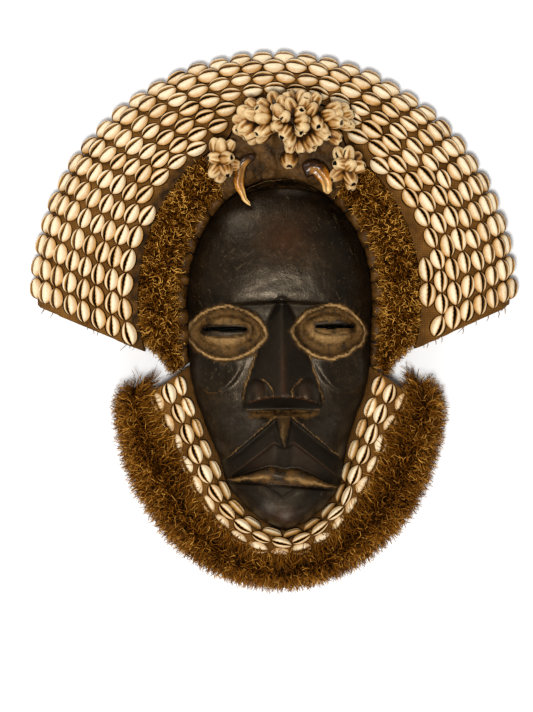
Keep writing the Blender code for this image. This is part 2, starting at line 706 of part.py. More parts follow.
def crest_row(row, start, end):
    """Frames of a row of shells over the crest, from one angle to another."""
    radius, height, shift = crest_profile()
    low = Vector((radius[row], 0, height[row]))
    high = Vector((radius[row + 1], 0, height[row + 1]))
    middle = (low + high) / 2
    row_shift = (shift[row] + shift[row + 1]) / 2
    slope = math.radians(CREST_ROW_SLOPES[row])
    length = (end - start) * middle.x
    count = max(1, int(length / SHELL_PITCH))

    def frame(place):
        angle = start + (end - start) * place / count
        outward = Vector((math.cos(angle), math.sin(angle), 0))
        centre = Vector(crest_point(middle.x, middle.z, row_shift, angle))
        across = outward * math.cos(slope) - Vector((0, 0, math.sin(slope)))
        out = outward * math.sin(slope) + Vector((0, 0, math.cos(slope)))
        return centre, across, out, SHELL_WIDTH

    return count, frame


def row_clears_hair(row, angle):
    """Whether a shell of this row at this angle lies wholly outside the hair."""
    radius, height, shift = crest_profile()
    point = crest_point(radius[row], 0, (shift[row] + shift[row + 1]) / 2, angle)
    turn = math.atan2(point[1], point[0])
    return math.hypot(point[0], point[1]) > float(opening_radius(turn)) + SEWN_GAP


def build_crest_rows():
    """One node for each arc of shells, and two where the hair parts it into a left and a right arc."""
    radius, height, shift = crest_profile()
    for row in range(len(CREST_ROW_SLOPES)):
        middle = (radius[row] + radius[row + 1]) / 2
        margin = ROW_END_SHARE * SHELL_PITCH / middle
        start = wing_end(float(radius[row])) + margin
        end = math.pi - start
        steps = np.linspace(start, end, 241)
        clear = [row_clears_hair(row, angle) for angle in steps]
        if all(clear):
            shell_chain(f"crest_row_{row + 1}", crest_row(row, start, end))
            continue
        right = [angle for angle, free in zip(steps, clear) if free and angle < math.pi / 2]
        left = [angle for angle, free in zip(steps, clear) if free and angle > math.pi / 2]
        shell_chain(f"crest_row_{row + 1}_right", crest_row(row, right[0], right[-1]))
        shell_chain(f"crest_row_{row + 1}_left", crest_row(row, left[0], left[-1]))


def collar_row(row, start, end):
    """Frames of a row of shells along the collar, each as wide as its band allows."""
    edges = []
    for angle in spaced(start, end, COLLAR_STEP):
        profile = collar_profile(angle)
        ends = []
        for radius, height in profile[row : row + 2]:
            ends.append((radius * math.cos(angle), radius * math.sin(angle), height))
        edges.append(ends)
    edges = np.array(edges)
    middle = edges.mean(axis=1)
    travelled = np.concatenate([[0], np.cumsum(np.linalg.norm(np.diff(middle, axis=0), axis=1))])
    margin = ROW_END_SHARE * SHELL_PITCH
    length = travelled[-1] - 2 * margin
    count = max(1, int(length / SHELL_PITCH))

    def at(values, place):
        travel = margin + length * place / count
        return Vector([float(np.interp(travel, travelled, values[:, axis])) for axis in range(3)])

    def frame(place):
        step = 0.15
        forward = at(middle, min(place + step, count)) - at(middle, max(place - step, 0))
        forward.normalize()
        across = at(edges[:, 1], place) - at(edges[:, 0], place)
        across = across - forward * across.dot(forward)
        width = min(SHELL_WIDTH, across.length - 2 * SHELL_GAP)
        across.normalize()
        out = forward.cross(across)
        if out.z < 0:
            out = -out
        return at(middle, place), across, out, width

    return count, frame


def build_lower_parts():
    """Collar, its shells and the beard."""
    right = COLLAR_END
    left = -180 - COLLAR_END
    sweep("collar", spaced(left, right, COLLAR_STEP), collar_section, (0.16, 0.10, 0.05), 0.9)
    for row in range(len(COLLAR_BANDS) - 1):
        shell_chain(f"collar_row_{row + 1}", collar_row(row, left, right), COLLAR_SHELL_GAP, PLAIN_RINGS)
    beard = spaced(-180 - BEARD_END, BEARD_END, BEARD_STEP)
    sweep("beard", beard, beard_section, (0.20, 0.10, 0.03), 0.85)


def build_side_parts():
    """Hair and hide rolls on both sides and the pad between their upper ends."""
    hair = spaced(HAIR_TIP, HAIR_TOP, HAIR_STEP)
    roll = spaced(BINDING_FROM, BINDING_TO, BINDING_STEP)
    if len(roll) % 2 == 0:
        roll = spaced(BINDING_FROM, BINDING_TO, (BINDING_TO - BINDING_FROM) / len(roll))
    for side, turned in (("right", list), ("left", mirrored)):
        sweep(f"hair_{side}", turned(hair), hair_section, (0.20, 0.10, 0.03), 0.85)
        angles = turned(roll)
        sweep(f"binding_{side}", angles, binding_sections(angles), (0.09, 0.045, 0.02), 0.6)
    pad = spaced(HAIR_TOP + CROWN_PAD_GAP, 180 - HAIR_TOP - CROWN_PAD_GAP, CROWN_PAD_STEP)
    sweep("crown_pad", pad, crown_pad_section, (0.07, 0.04, 0.02), 0.75)


def lumpy_bunch(name, middle, base, half, shell_length, detail):
    """Shells tied by their ends into a bunch: a low core with a blunt shell on each upper face."""
    form = bmesh.new()
    bmesh.ops.create_icosphere(form, subdivisions=detail, radius=1.0)
    bmesh.ops.scale(form, vec=half, verts=form.verts)
    bmesh.ops.translate(form, vec=(middle[0] * X_UNIT, middle[1] * Y_UNIT, base + half[2]), verts=form.verts)
    form.normal_update()
    upper = [face for face in form.faces if face.normal.z > -0.3]
    bmesh.ops.inset_individual(form, faces=upper, thickness=BUNCH_INSET, depth=shell_length)
    low = min(vertex.co.z for vertex in form.verts)
    for vertex in form.verts:
        vertex.co.z += base - low
    mesh = bpy.data.meshes.new(name)
    form.to_mesh(mesh)
    form.free()
    add_object(name, mesh, BUNCH_COLOUR, 0.4)


def tooth(name, route, widths, base):
    """A curved tooth that lies over the pad and the forehead, thick at its root."""
    line = np.array(route) * [X_UNIT, Y_UNIT]
    forward = np.gradient(line, axis=0)
    forward /= np.linalg.norm(forward, axis=1)[:, None]
    points = []
    for place, (spot, way) in enumerate(zip(line, forward)):
        share = place / (len(line) - 1)
        half = (widths[0] + (widths[1] - widths[0]) * share**1.6) / 2
        for side in range(TOOTH_SIDE_COUNT):
            turn = 2 * math.pi * side / TOOTH_SIDE_COUNT
            aside = half * math.cos(turn)
            height = base + widths[0] / 2 + half * math.sin(turn)
            points.append((spot[0] - way[1] * aside, spot[1] + way[0] * aside, height))
    faces = [tuple(range(TOOTH_SIDE_COUNT)), tuple(range(len(points) - TOOTH_SIDE_COUNT, len(points)))]
    for place in range(len(line) - 1):
        for side in range(TOOTH_SIDE_COUNT):
            near = place * TOOTH_SIDE_COUNT + side
            beside = place * TOOTH_SIDE_COUNT + (side + 1) % TOOTH_SIDE_COUNT
            faces.append((near, beside, beside + TOOTH_SIDE_COUNT, near + TOOTH_SIDE_COUNT))
    add_object(name, mesh_from(name, points, faces), (0.45, 0.24, 0.08), 0.35, smooth_angle=50)


def build_crown():
    """The bunches, the one shell that faces forward and the two teeth, all on the crown pad."""
    on_pad = CROWN_PAD_HEIGHT + SHELL_GAP
    on_hair = HAIR_HEIGHT + SHELL_GAP
    lumpy_bunch("cowrie_bunch", BUNCH_MIDDLE, on_pad, BUNCH_HALF, BUNCH_SHELL_LENGTH, 2)
    for side, middle in BUNCH_SIDES.items():
        name = f"cowrie_bunch_{side}"
        lumpy_bunch(name, middle, on_hair, BUNCH_SIDE_HALF, BUNCH_SIDE_SHELL_LENGTH, 1)

    def crown_shell(place):
        forward = CROWN_SHELL[1] * Y_UNIT + SHELL_PITCH * (place - 0.5)
        centre = Vector((CROWN_SHELL[0] * X_UNIT, forward, CROWN_PAD_HEIGHT))
        return centre, Vector((1, 0, 0)), Vector((0, 0, 1)), SHELL_WIDTH

    shell_chain("crown_shell", (1, crown_shell))
    tooth("tooth_left", TOOTH_LEFT, TOOTH_LEFT_WIDTHS, on_pad)
    tooth("tooth_right", TOOTH_RIGHT, TOOTH_RIGHT_WIDTHS, on_pad)


def clear_scene():
    for piece in list(bpy.data.objects):
        bpy.data.objects.remove(piece)


def centre_on_origin():
    """Puts the middle of the whole mask's underside at the origin, by way of one empty."""
    frame = bpy.data.objects.new("mask_frame", None)
    bpy.context.scene.collection.objects.link(frame)
    low = np.full(3, np.inf)
    high = np.full(3, -np.inf)
    for piece in bpy.data.objects:
        if piece.type != "MESH":
            continue
        piece.parent = frame
        if piece.hide_render:
            continue
        corners = np.array([vertex.co[:] for vertex in piece.data.vertices])
        low = np.minimum(low, corners.min(axis=0))
        high = np.maximum(high, corners.max(axis=0))
    frame.location = (-(low[0] + high[0]) / 2, -(low[1] + high[1]) / 2, -low[2])


clear_scene()
build_face()
build_crest()
build_crest_rows()
build_side_parts()
build_lower_parts()
build_crown()
centre_on_origin()
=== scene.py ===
"""The looks of the mask: carved wood, cowries, cloth, fibre, hide and teeth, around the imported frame.

The mask lies on its back and the camera looks straight down on it. Lengths are in metres. The
face is carved on the same grid of small units as the solids, at a finer step.
"""

import math

import bpy
import numpy as np
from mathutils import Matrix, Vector


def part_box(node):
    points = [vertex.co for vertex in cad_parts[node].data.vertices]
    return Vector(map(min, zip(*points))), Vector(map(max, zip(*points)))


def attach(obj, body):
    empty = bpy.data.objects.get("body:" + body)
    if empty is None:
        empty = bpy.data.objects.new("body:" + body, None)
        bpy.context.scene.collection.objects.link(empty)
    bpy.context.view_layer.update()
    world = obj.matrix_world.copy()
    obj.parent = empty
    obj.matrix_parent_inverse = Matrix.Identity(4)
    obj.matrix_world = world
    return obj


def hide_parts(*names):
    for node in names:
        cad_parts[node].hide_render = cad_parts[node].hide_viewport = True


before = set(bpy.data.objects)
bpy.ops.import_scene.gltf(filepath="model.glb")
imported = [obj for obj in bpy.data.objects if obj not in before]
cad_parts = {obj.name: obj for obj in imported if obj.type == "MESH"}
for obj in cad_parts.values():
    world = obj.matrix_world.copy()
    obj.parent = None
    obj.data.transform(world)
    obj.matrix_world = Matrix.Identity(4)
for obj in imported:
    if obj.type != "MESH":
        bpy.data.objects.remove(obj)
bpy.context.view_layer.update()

# Wooden face, in metres, and its grid of units
FACE_WIDTH = 0.148
FACE_LENGTH = 0.2824
FACE_DEPTH = 0.080
FACE_WALL = 0.009
FACE_EDGE_HEIGHT = 0.024
UNITS_WIDE = 185.0
CROWN_UNITS = 122.0
CHIN_UNITS = 231.0
UNITS_DEEP = 100.0
HOLLOW_UNITS = 62.0
CHIN_WALLS = 1.8
X_UNIT = FACE_WIDTH / UNITS_WIDE
Y_UNIT = FACE_LENGTH / (CROWN_UNITS + CHIN_UNITS)
Z_UNIT = FACE_DEPTH / UNITS_DEEP
FACE_ROWS = 360
FACE_COLUMNS = 156
HOLLOW_COLUMNS = 32

# The face's place in the frame
FACE_LOW, FACE_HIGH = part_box("face")
FACE_X = (FACE_LOW[0] + FACE_HIGH[0]) / 2
FACE_Y = FACE_HIGH[1] - CROWN_UNITS * Y_UNIT

# Photograph: the face's centre, the frame's size and the scale on the plane of the shells
PHOTO_FACE = (279.5, 300.0)
PHOTO_SIZE = (533, 712)
METRES_PER_PIXEL = 0.0008
SCALE_PLANE = 0.035
CAMERA_DISTANCE = 2.4
SENSOR = 36.0

# Sewn pieces, as in the solids
SEWN_GAP = 0.0013
SHELL_GAP = 0.0003
SHELL_PITCH = 0.0176
CREST_OFFSET = (-0.0064, 0.0040)
CREST_ROW_WIDTH = 0.0108
CREST_ROW_SLOPES = (3.0, 3.0, 8.0, 8.0, 14.0, 26.0, 46.0, 68.0)
CREST_RIM_HEIGHT = 0.008
CREST_MARGIN = 0.0042
FIRST_ROW_SHIFT = 0.0040
LAST_ROW_SHIFT = 0.0016
WING_ANGLE = 23.7
WING_OFFSET = 0.0834
BINDING_WIDTH = 0.0076
BINDING_HEIGHT = 0.030
HIDE_ROLL_FROM = -34.6
HIDE_ROLL_WIDTH = 0.0125
BINDING_TO = 61.5
HAIR_BAND = 0.0380
HAIR_HEIGHT = 0.050
HAIR_TIP = -34.0
HAIR_TAPER = -13.0
HAIR_TOP = 62.0
HAIR_TIP_WIDTH = 0.006
CROWN_PAD_HEIGHT = 0.048
CROWN_PAD_RISE = 0.025
CROWN_PAD_MIDDLE = 87.0
COLLAR_END = -36.0
COLLAR_CENTRE_Y = -0.048
COLLAR_SIDE = 0.0210
COLLAR_CHIN = 0.0215
COLLAR_FLARE = 0.012
COLLAR_EDGE_HEIGHT = 0.023
COLLAR_HEIGHT = 0.031
COLLAR_OUTER_HEIGHT = 0.023
COLLAR_BANDS = (0.17, 0.40, 0.71, 1.0)
COLLAR_WALL_HEIGHT = 0.018
BEARD_END = -31.0
BEARD_CENTRE_Y = -0.080
BEARD_SIDE = 0.0564
BEARD_CHIN = 0.0456
BEARD_HEIGHT = 0.046
BEARD_CLEARING = 0.0055

# Eyes: centre across and along, half length and half height, in units
LEFT_EYE = (-53.0, -33.2, 38.4, 26.0)
RIGHT_EYE = (49.8, -32.0, 36.0, 25.5)

# Slits: centre across and along, half length and half height, in units
LEFT_SLIT = (-54.7, -29.4, 22.4, 2.3)
RIGHT_SLIT = (55.5, -26.8, 19.5, 1.7)
EYES = ((LEFT_EYE, LEFT_SLIT), (RIGHT_EYE, RIGHT_SLIT))

# How bare of ochre the lower lid of each eye is
LOWER_LID_BARE = (1.0, 0.25)

chance = np.random.default_rng(7)


# Curves and outlines
def smooth_through(keys):
    """A function of one value that runs smoothly through the keys without overshooting them."""
    at, value = np.array(sorted(keys), float).T
    step = np.diff(at)
    slope = np.diff(value) / step
    tangent = np.empty_like(value)
    tangent[0] = slope[0]
    tangent[-1] = slope[-1]
    same_way = slope[:-1] * slope[1:] > 0
    safe = np.where(same_way, slope[:-1] + slope[1:], 1.0)
    tangent[1:-1] = np.where(same_way, 2 * slope[:-1] * slope[1:] / safe, 0.0)

    def curve(position):
        position = np.clip(position, at[0], at[-1])
        index = np.clip(np.searchsorted(at, position) - 1, 0, len(step) - 1)
        share = (position - at[index]) / step[index]
        rest = 1 - share
        return (
            value[index] * rest**2 * (1 + 2 * share)
            + value[index + 1] * share**2 * (3 - 2 * share)
            + tangent[index] * step[index] * share * rest**2
            - tangent[index + 1] * step[index] * share**2 * rest
        )

    return curve


def ramp(value, low, high):
    """0 below low, 1 above high and a smooth rise between them."""
    share = np.clip((value - low) / (high - low), 0, 1)
    return share * share * (3 - 2 * share)


def bell(value, width):
    """1 at value 0, falling smoothly on both sides over about the given width."""
    return np.exp(-((value / width) ** 2))


def oval_patch(x, y, across, along, wide, high):
    """1 at one place of the face, falling smoothly over the given half width and half height."""
    return np.exp(-(((x - across) / wide) ** 2) - ((y - along) / high) ** 2)


def flat_points(x, y):
    return np.stack([x, y, np.zeros_like(x)], axis=-1)


def path_lengths(points):
    """How far along a path of points each of them lies."""
    return np.concatenate([[0], np.cumsum(np.linalg.norm(np.diff(points, axis=0), axis=1))])


# The jaw below the face's widest line: share of the way to the chin, share of half the width
JAW = ((0, 1), (0.29, 0.973), (0.411, 0.914), (0.511, 0.822), (0.68, 0.681), (0.797, 0.605), (0.883, 0.454),
       (0.957, 0.238), (1, 0))
jaw_half_width = smooth_through([(-share * CHIN_UNITS, width * UNITS_WIDE / 2) for share, width in JAW])

# The middle line's height without the nose: share of the way up or down, height in units
FOREHEAD = ((-0.07, 79), (0.05, 82), (0.18, 82), (0.36, 80), (0.57, 74), (0.78, 62), (0.92, 47), (1, 30))
LOWER_FACE = ((-1, 68), (0.043, 68), (0.303, 67), (0.433, 68), (0.541, 73), (0.693, 81), (0.887, 80),
              (0.952, 66), (1, 30))
forehead_height = smooth_through([(share * CROWN_UNITS, height) for share, height in FOREHEAD])
lower_height = smooth_through([(-share * CHIN_UNITS, height) for share, height in LOWER_FACE])

# The carving's own middle line, and half the nose's width, in units at heights in units
carving_middle = smooth_through([(0, 2.3), (-95, 3.0), (-146, 4.5), (-180, 3.5), (-196, 2.2)])
nose_side = smooth_through(
    [(-108, 38.5), (-98, 38), (-84, 35), (-77, 32.5), (-67, 29.5), (-53, 25), (-35, 18), (-21, 14), (-4, 6)]
)


def half_width(y):
    """Half the face's width at height y: an ellipse above the widest line and the jaw below it."""
    above = UNITS_WIDE / 2 * np.sqrt(np.clip(1 - (y / CROWN_UNITS) ** 2, 0, 1))
    return np.where(y > 0, above, jaw_half_width(np.minimum(y, 0)))


def lean(y):
    """The lower face leans to one side, as carved."""
    return 5.5 * ramp(-y, 120, 205)


def outline_rows(top, bottom, count):
    """Heights from top to bottom that lie closer together towards both ends."""
    turn = np.linspace(0, math.pi, count + 1)
    return (top + bottom) / 2 + (top - bottom) / 2 * np.cos(turn)


OUTLINE_Y = outline_rows(CROWN_UNITS, -CHIN_UNITS, 400)
OUTLINE_RIGHT = np.stack([(lean(OUTLINE_Y) + half_width(OUTLINE_Y)) * X_UNIT, OUTLINE_Y * Y_UNIT], axis=-1)
OUTLINE_LEFT = np.stack([(lean(OUTLINE_Y) - half_width(OUTLINE_Y)) * X_UNIT, OUTLINE_Y * Y_UNIT], axis=-1)
OUTLINE = np.concatenate([OUTLINE_RIGHT[::-1], OUTLINE_LEFT[1:-1]])
OUTLINE_TURN = np.unwrap(np.arctan2(OUTLINE[:, 1], OUTLINE[:, 0]))
OUTLINE_REACH = np.hypot(OUTLINE[:, 0], OUTLINE[:, 1])


def face_radius(angle):
    """Distance from the face's centre to its outline, at angles in radians from +X."""
    turn = (angle - OUTLINE_TURN[0]) % (2 * math.pi)
    return np.interp(turn, OUTLINE_TURN - OUTLINE_TURN[0], OUTLINE_REACH, period=2 * math.pi)


def ellipse_radius(angle, centre_y, side, end):
    """Distance along a ray from the face's centre to an ellipse whose centre is at centre_y."""
    a = (np.cos(angle) / side) ** 2 + (np.sin(angle) / end) ** 2
    b = -2 * np.sin(angle) * centre_y / end**2
    c = (centre_y / end) ** 2 - 1
    return (-b + np.sqrt(b * b - 4 * a * c)) / (2 * a)


def hair_radius(angle):
    """Outer edge of the hair."""
    return ellipse_radius(angle, 0.0, FACE_WIDTH / 2 + HAIR_BAND, CROWN_UNITS * Y_UNIT + HAIR_BAND)


def opening_radius(angle):
    """Edge of the opening in the crest, which widens round the crown pad."""
    from_middle = np.abs(np.degrees(angle) - CROWN_PAD_MIDDLE)
    return hair_radius(angle) + CROWN_PAD_RISE * ramp(23 - from_middle, 0, 13)


def collar_radius(angle):
    """Outer edge of the collar, which flares towards its two ends."""
    drop = CHIN_UNITS * Y_UNIT + COLLAR_CENTRE_Y + COLLAR_CHIN
    plain = ellipse_radius(angle, COLLAR_CENTRE_Y, FACE_WIDTH / 2 + COLLAR_SIDE, drop)
    return plain + COLLAR_FLARE * ramp(np.abs(np.degrees(angle) + 90), 36, 54)


def beard_radius(angle):
    """Outer edge of the beard."""
    drop = CHIN_UNITS * Y_UNIT + BEARD_CENTRE_Y + BEARD_CHIN
    return ellipse_radius(angle, BEARD_CENTRE_Y, FACE_WIDTH / 2 + BEARD_SIDE, drop)


# Rough surfaces: a few waves in chosen directions, which repeat nowhere on the mask
WAVES = chance.normal(size=(24, 3))
WAVE_PHASES = chance.uniform(0, 2 * math.pi, 24)


def rough(points, size):
    """Smooth noise from -1 to 1, with bumps about one size across."""
    phase = points @ WAVES.T * (2.2 / size) + WAVE_PHASES
    return np.clip(np.sin(phase).sum(axis=-1) / 5.5, -1, 1)


# Meshes
def make_piece(name, points, faces, look, attributes=None, smooth=True):
    """A mesh object from arrays of points and faces, where -1 marks a triangle's missing corner."""
    faces = np.asarray(faces, np.int64)
    sizes = np.where(faces[:, -1] < 0, faces.shape[1] - 1, faces.shape[1]) if faces.shape[1] == 4 else None
    mesh = bpy.data.meshes.new(name)
    mesh.vertices.add(len(points))
    mesh.vertices.foreach_set("co", np.asarray(points, np.float32).ravel())
    if sizes is None:
        sizes = np.full(len(faces), faces.shape[1])
    corners = faces.ravel()
    corners = corners[corners >= 0]
    mesh.loops.add(len(corners))
    mesh.loops.foreach_set("vertex_index", corners.astype(np.int32))
    mesh.polygons.add(len(faces))
    starts = np.concatenate([[0], np.cumsum(sizes)[:-1]])
    mesh.polygons.foreach_set("loop_start", starts.astype(np.int32))
    mesh.polygons.foreach_set("use_smooth", np.full(len(faces), smooth))
    for key, values in (attributes or {}).items():
        layer = mesh.attributes.new(key, "FLOAT", "POINT")
        layer.data.foreach_set("value", np.asarray(values, np.float32))
    mesh.update(calc_edges=True)
    mesh.validate()
    mesh.materials.append(look)
    piece = bpy.data.objects.new(name, mesh)
    bpy.context.scene.collection.objects.link(piece)
    return piece


def fan(corners):
    """Triangles that fill a loop of corners, in rows of four with the last left out."""
    return [(corners[0], corners[i], corners[i + 1], -1) for i in range(1, len(corners) - 1)]


def loft_faces(rings, size):
    """Quads between rings of points that are each closed, with the first and last ring filled."""
    ring, corner = np.meshgrid(np.arange(rings - 1), np.arange(size), indexing="ij")
    near = ring * size + corner
    side = ring * size + (corner + 1) % size
    quads = np.stack([near, side, side + size, near + size], axis=-1).reshape(-1, 4)
    last = (rings - 1) * size
    caps = fan(list(range(size))[::-1]) + fan(list(range(last, last + size)))
    return np.concatenate([quads, np.array(caps)])


def flipped(faces):
    """The same faces wound the other way, where -1 marks a triangle's missing corner."""
    turned = faces[:, [0, 2, 1, 3]].copy()
    four = faces[:, 3] >= 0
    turned[four] = faces[four][:, ::-1]
    return turned


def outward(points, faces):
    """The faces turned so that they point out of the closed body that they make."""
    triangles = points[faces[:, :3]]
    volume = np.einsum("ij,ij->i", triangles[:, 0], np.cross(triangles[:, 1], triangles[:, 2])).sum()
    four = faces[:, 3] >= 0
    rest = points[faces[four][:, [0, 2, 3]]]
    volume += np.einsum("ij,ij->i", rest[:, 0], np.cross(rest[:, 1], rest[:, 2])).sum()
    if volume > 0:
        return faces
    return flipped(faces)


def swept_piece(name, rings, look, attributes=None):
    """A closed piece drawn through rings of points."""
    points = rings.reshape(-1, 3)
    faces = loft_faces(rings.shape[0], rings.shape[1])
    return make_piece(name, points, outward(points, faces), look, attributes)


# Materials
class Look:
    """A procedural material, built up node by node on one Principled shader."""

    def __init__(self, name, roughness=0.6, specular=0.5):
        self.material = bpy.data.materials.new(name)
        self.material.use_nodes = True
        self.nodes = self.material.node_tree.nodes
        self.shader = self.nodes["Principled BSDF"]
        self.shader.inputs["Roughness"].default_value = roughness
        self.shader.inputs["Specular IOR Level"].default_value = specular
        self.place = self.add("ShaderNodeTexCoord").outputs["Object"]

    def add(self, kind, **values):
        node = self.nodes.new(kind)
        for key, value in values.items():
            if hasattr(node, key):
                setattr(node, key, value)
            else:
                node.inputs[key.replace("_", " ")].default_value = value
        return node

    def join(self, output, socket):
        self.material.node_tree.links.new(output, socket)

    def noise(self, scale, detail=4.0, rough_share=0.6, stretch=None):
        node = self.add("ShaderNodeTexNoise", Scale=scale, Detail=detail, Roughness=rough_share)
        place = self.place
        if stretch is not None:
            mapping = self.add("ShaderNodeMapping", Scale=stretch)
            self.join(place, mapping.inputs["Vector"])
            place = mapping.outputs["Vector"]
        self.join(place, node.inputs["Vector"])
        return node.outputs["Fac"]

    def scratches(self, turn, scale):
        """1 along fine scratches that run one way across the surface, and 0 between them."""
        stretch = (1.0, 16.0, 1.0)
        mapping = self.add("ShaderNodeMapping", vector_type="TEXTURE", Rotation=(0, 0, turn), Scale=stretch)
        self.join(self.place, mapping.inputs["Vector"])
        node = self.add("ShaderNodeTexNoise", Scale=scale, Detail=2.0, Roughness=0.5)
        self.join(mapping.outputs["Vector"], node.inputs["Vector"])
        return self.curve(node.outputs["Fac"], 0.64, 0.69)

    def blotches(self, noise, *span):
        """Noise carried onto a range, both as for the functions of those names."""
        return self.curve(self.noise(*noise), *span)

    def attribute(self, name):
        return self.add("ShaderNodeAttribute", attribute_name=name).outputs["Fac"]

    def curve(self, value, low, high, start=0.0, end=1.0):
        """A value carried from the range low to high onto start to end, and held at its ends."""
        node = self.add("ShaderNodeMapRange", clamp=True)
        self.join(value, node.inputs["Value"])
        for key, number in (("From Min", low), ("From Max", high), ("To Min", start), ("To Max", end)):
            node.inputs[key].default_value = number
        return node.outputs["Result"]

    def maths(self, operation, first, second):
        node = self.add("ShaderNodeMath", operation=operation)
        for place, value in enumerate((first, second)):
            if isinstance(value, (int, float)):
                node.inputs[place].default_value = value
            else:
                self.join(value, node.inputs[place])
        return node.outputs["Value"]

    def times(self, first, second):
        return self.maths("MULTIPLY", first, second)

    def plus(self, first, second):
        return self.maths("ADD", first, second)

    def minus(self, first, second):
        return self.maths("SUBTRACT", first, second)

    def mix(self, share, first, second):
        """A colour between two colours, each a tuple or another node's colour."""
        node = self.add("ShaderNodeMix", data_type="RGBA")
        self.join(share, node.inputs["Factor"])
        for socket, colour in ((node.inputs[6], first), (node.inputs[7], second)):
            if isinstance(colour, tuple):
                socket.default_value = (*colour, 1.0)
            else:
                self.join(colour, socket)
        return node.outputs[2]

    def colour(self, output):
        self.join(output, self.shader.inputs["Base Color"])

    def roughness(self, output):
        self.join(output, self.shader.inputs["Roughness"])

    def bump(self, height, distance, strength=1.0):
        node = self.add("ShaderNodeBump", Strength=strength, Distance=distance)
        self.join(height, node.inputs["Height"])
        if self.shader.inputs["Normal"].is_linked:
            self.join(self.shader.inputs["Normal"].links[0].from_socket, node.inputs["Normal"])
        self.join(node.outputs["Normal"], self.shader.inputs["Normal"])


def wood_look():
    """Blackened wood: scratches, ochre in the hollows with painted highlights on a few edges, painted shade
    in the recesses and painted glints on polished places.
    """
    look = Look("blackened_wood", specular=0.42)
    wide = look.blotches((26.0, 5.0), 0.35, 0.7)
    fine = look.noise(260.0, 6.0, 0.7)
    black = look.mix(wide, (0.0030, 0.0018, 0.0009), (0.0185, 0.0115, 0.0055))
    mottle = look.times(look.blotches((150.0, 8.0, 0.8), 0.50, 0.72), wide)
    black = look.mix(look.times(mottle, 0.65), black, (0.075, 0.043, 0.018))
    flecks = look.blotches((620.0, 3.0, 0.7), 0.635, 0.70)
    flecks = look.times(flecks, look.blotches((60.0, 2.0), 0.4, 0.65, 0.05, 0.9))
    black = look.mix(flecks, black, (0.150, 0.085, 0.038))
    for turn, scale in ((0.6, 520.0), (-0.9, 640.0)):
        scratch = look.times(look.scratches(turn, scale), look.blotches((40.0, 3.0), 0.42, 0.6))
        black = look.mix(look.times(scratch, 0.38), black, (0.120, 0.085, 0.050))
    worn = look.times(look.attribute("worn"), look.curve(fine, 0.30, 0.58, 0.25, 1.0))
    black = look.mix(worn, black, (0.125, 0.042, 0.012))
    # Painted shade: the black deepened in the recesses, under the nose and below the ridges
    black = look.mix(look.attribute("painted_shade"), black, (0.0032, 0.0020, 0.0011))
    glint_and_polish = look.times(look.attribute("glint_and_polish"), look.blotches((110.0, 7.0, 0.75), 0.34, 0.62, 0.1, 1.0))
    # Painted highlight: the black lightened to grey where glints fall
    black = look.mix(look.times(glint_and_polish, 0.75), black, (0.130, 0.108, 0.088))
    patch = look.blotches((130.0, 9.0, 0.8), 0.30, 0.70)
    ochre_and_highlight_place = look.attribute("ochre_and_highlight")
    amount = look.curve(look.plus(ochre_and_highlight_place, look.times(patch, 0.62)), 0.66, 0.98)
    amount = look.times(amount, look.curve(ochre_and_highlight_place, 0.02, 0.2))
    grain = look.blotches((380.0, 7.0, 0.75), 0.32, 0.70)
    bright = look.times(look.curve(ochre_and_highlight_place, 0.55, 1.05), look.curve(grain, 0.0, 1.0, 0.25, 1.0))
    ochre_and_highlight = look.mix(bright, (0.105, 0.050, 0.010), (0.68, 0.43, 0.19))
    ochre_and_highlight = look.mix(look.times(look.curve(patch, 0.55, 0.15), 0.7), ochre_and_highlight, (0.040, 0.020, 0.006))
    # Painted shade over the ochre in the same recesses
    ochre_and_highlight = look.mix(look.times(look.attribute("painted_shade"), 0.85), ochre_and_highlight, (0.016, 0.008, 0.003))
    look.colour(look.mix(amount, black, ochre_and_highlight))
    shine = look.blotches((90.0, 8.0, 0.8), 0.32, 0.70, 0.25, 0.50)
    dull = look.times(look.plus(amount, look.attribute("painted_shade")), 0.35)
    shine = look.minus(shine, look.times(glint_and_polish, 0.10))
    look.roughness(look.plus(shine, dull))
    look.shader.inputs["Specular Tint"].default_value = (1.0, 0.82, 0.60, 1.0)
    look.bump(look.noise(900.0, 3.0, 0.6), 0.00014, 0.45)
    look.bump(look.noise(230.0, 6.0, 0.75, stretch=(1.0, 0.3, 1.0)), 0.00060, 0.55)
    look.bump(look.noise(75.0, 4.0, 0.6), 0.0016, 0.45)
    look.bump(look.times(amount, grain), 0.0005, 0.7)
    return look.material


def shell_look(name, cream, gold, stain):
    """Glazed shell that runs from cream to gold, then to a near-black painted shadow at its rim and skirt,
    with its slit painted dark as shade.
    """
    look = Look(name, 0.34, 0.22)
    mottle = look.noise(330.0, 4.0, 0.65)
    blotch = look.blotches((95.0, 3.0), 0.35, 0.75)
    tint = look.plus(look.attribute("tint"), look.times(mottle, 0.55))
    tint = look.plus(tint, look.times(look.attribute("shade"), 0.30))
    tint = look.plus(tint, look.times(blotch, 0.15))
    body = look.mix(look.curve(tint, 0.44, 1.25), cream, gold)
    # Past 1.25 the tint takes the third colour: painted shadow at the rim and on the skirt round each
    # shell, and painted shade at the tied shells' base ends
    body = look.mix(look.curve(tint, 1.25, 1.9), body, stain)
    spots = look.blotches((620.0, 3.0, 0.7), 0.60, 0.70)
    body = look.mix(look.times(spots, 0.60), body, gold)
    # Painted shade: the slit and the tied shells' end holes are coloured near black
    slit = look.curve(look.attribute("slit"), 0.15, 0.6)
    look.colour(look.mix(slit, body, (0.002, 0.001, 0.0004)))
    look.roughness(look.plus(look.curve(mottle, 0.3, 0.7, 0.30, 0.45), look.times(slit, 0.5)))
    look.bump(mottle, 0.0004, 0.35)
    return look.material


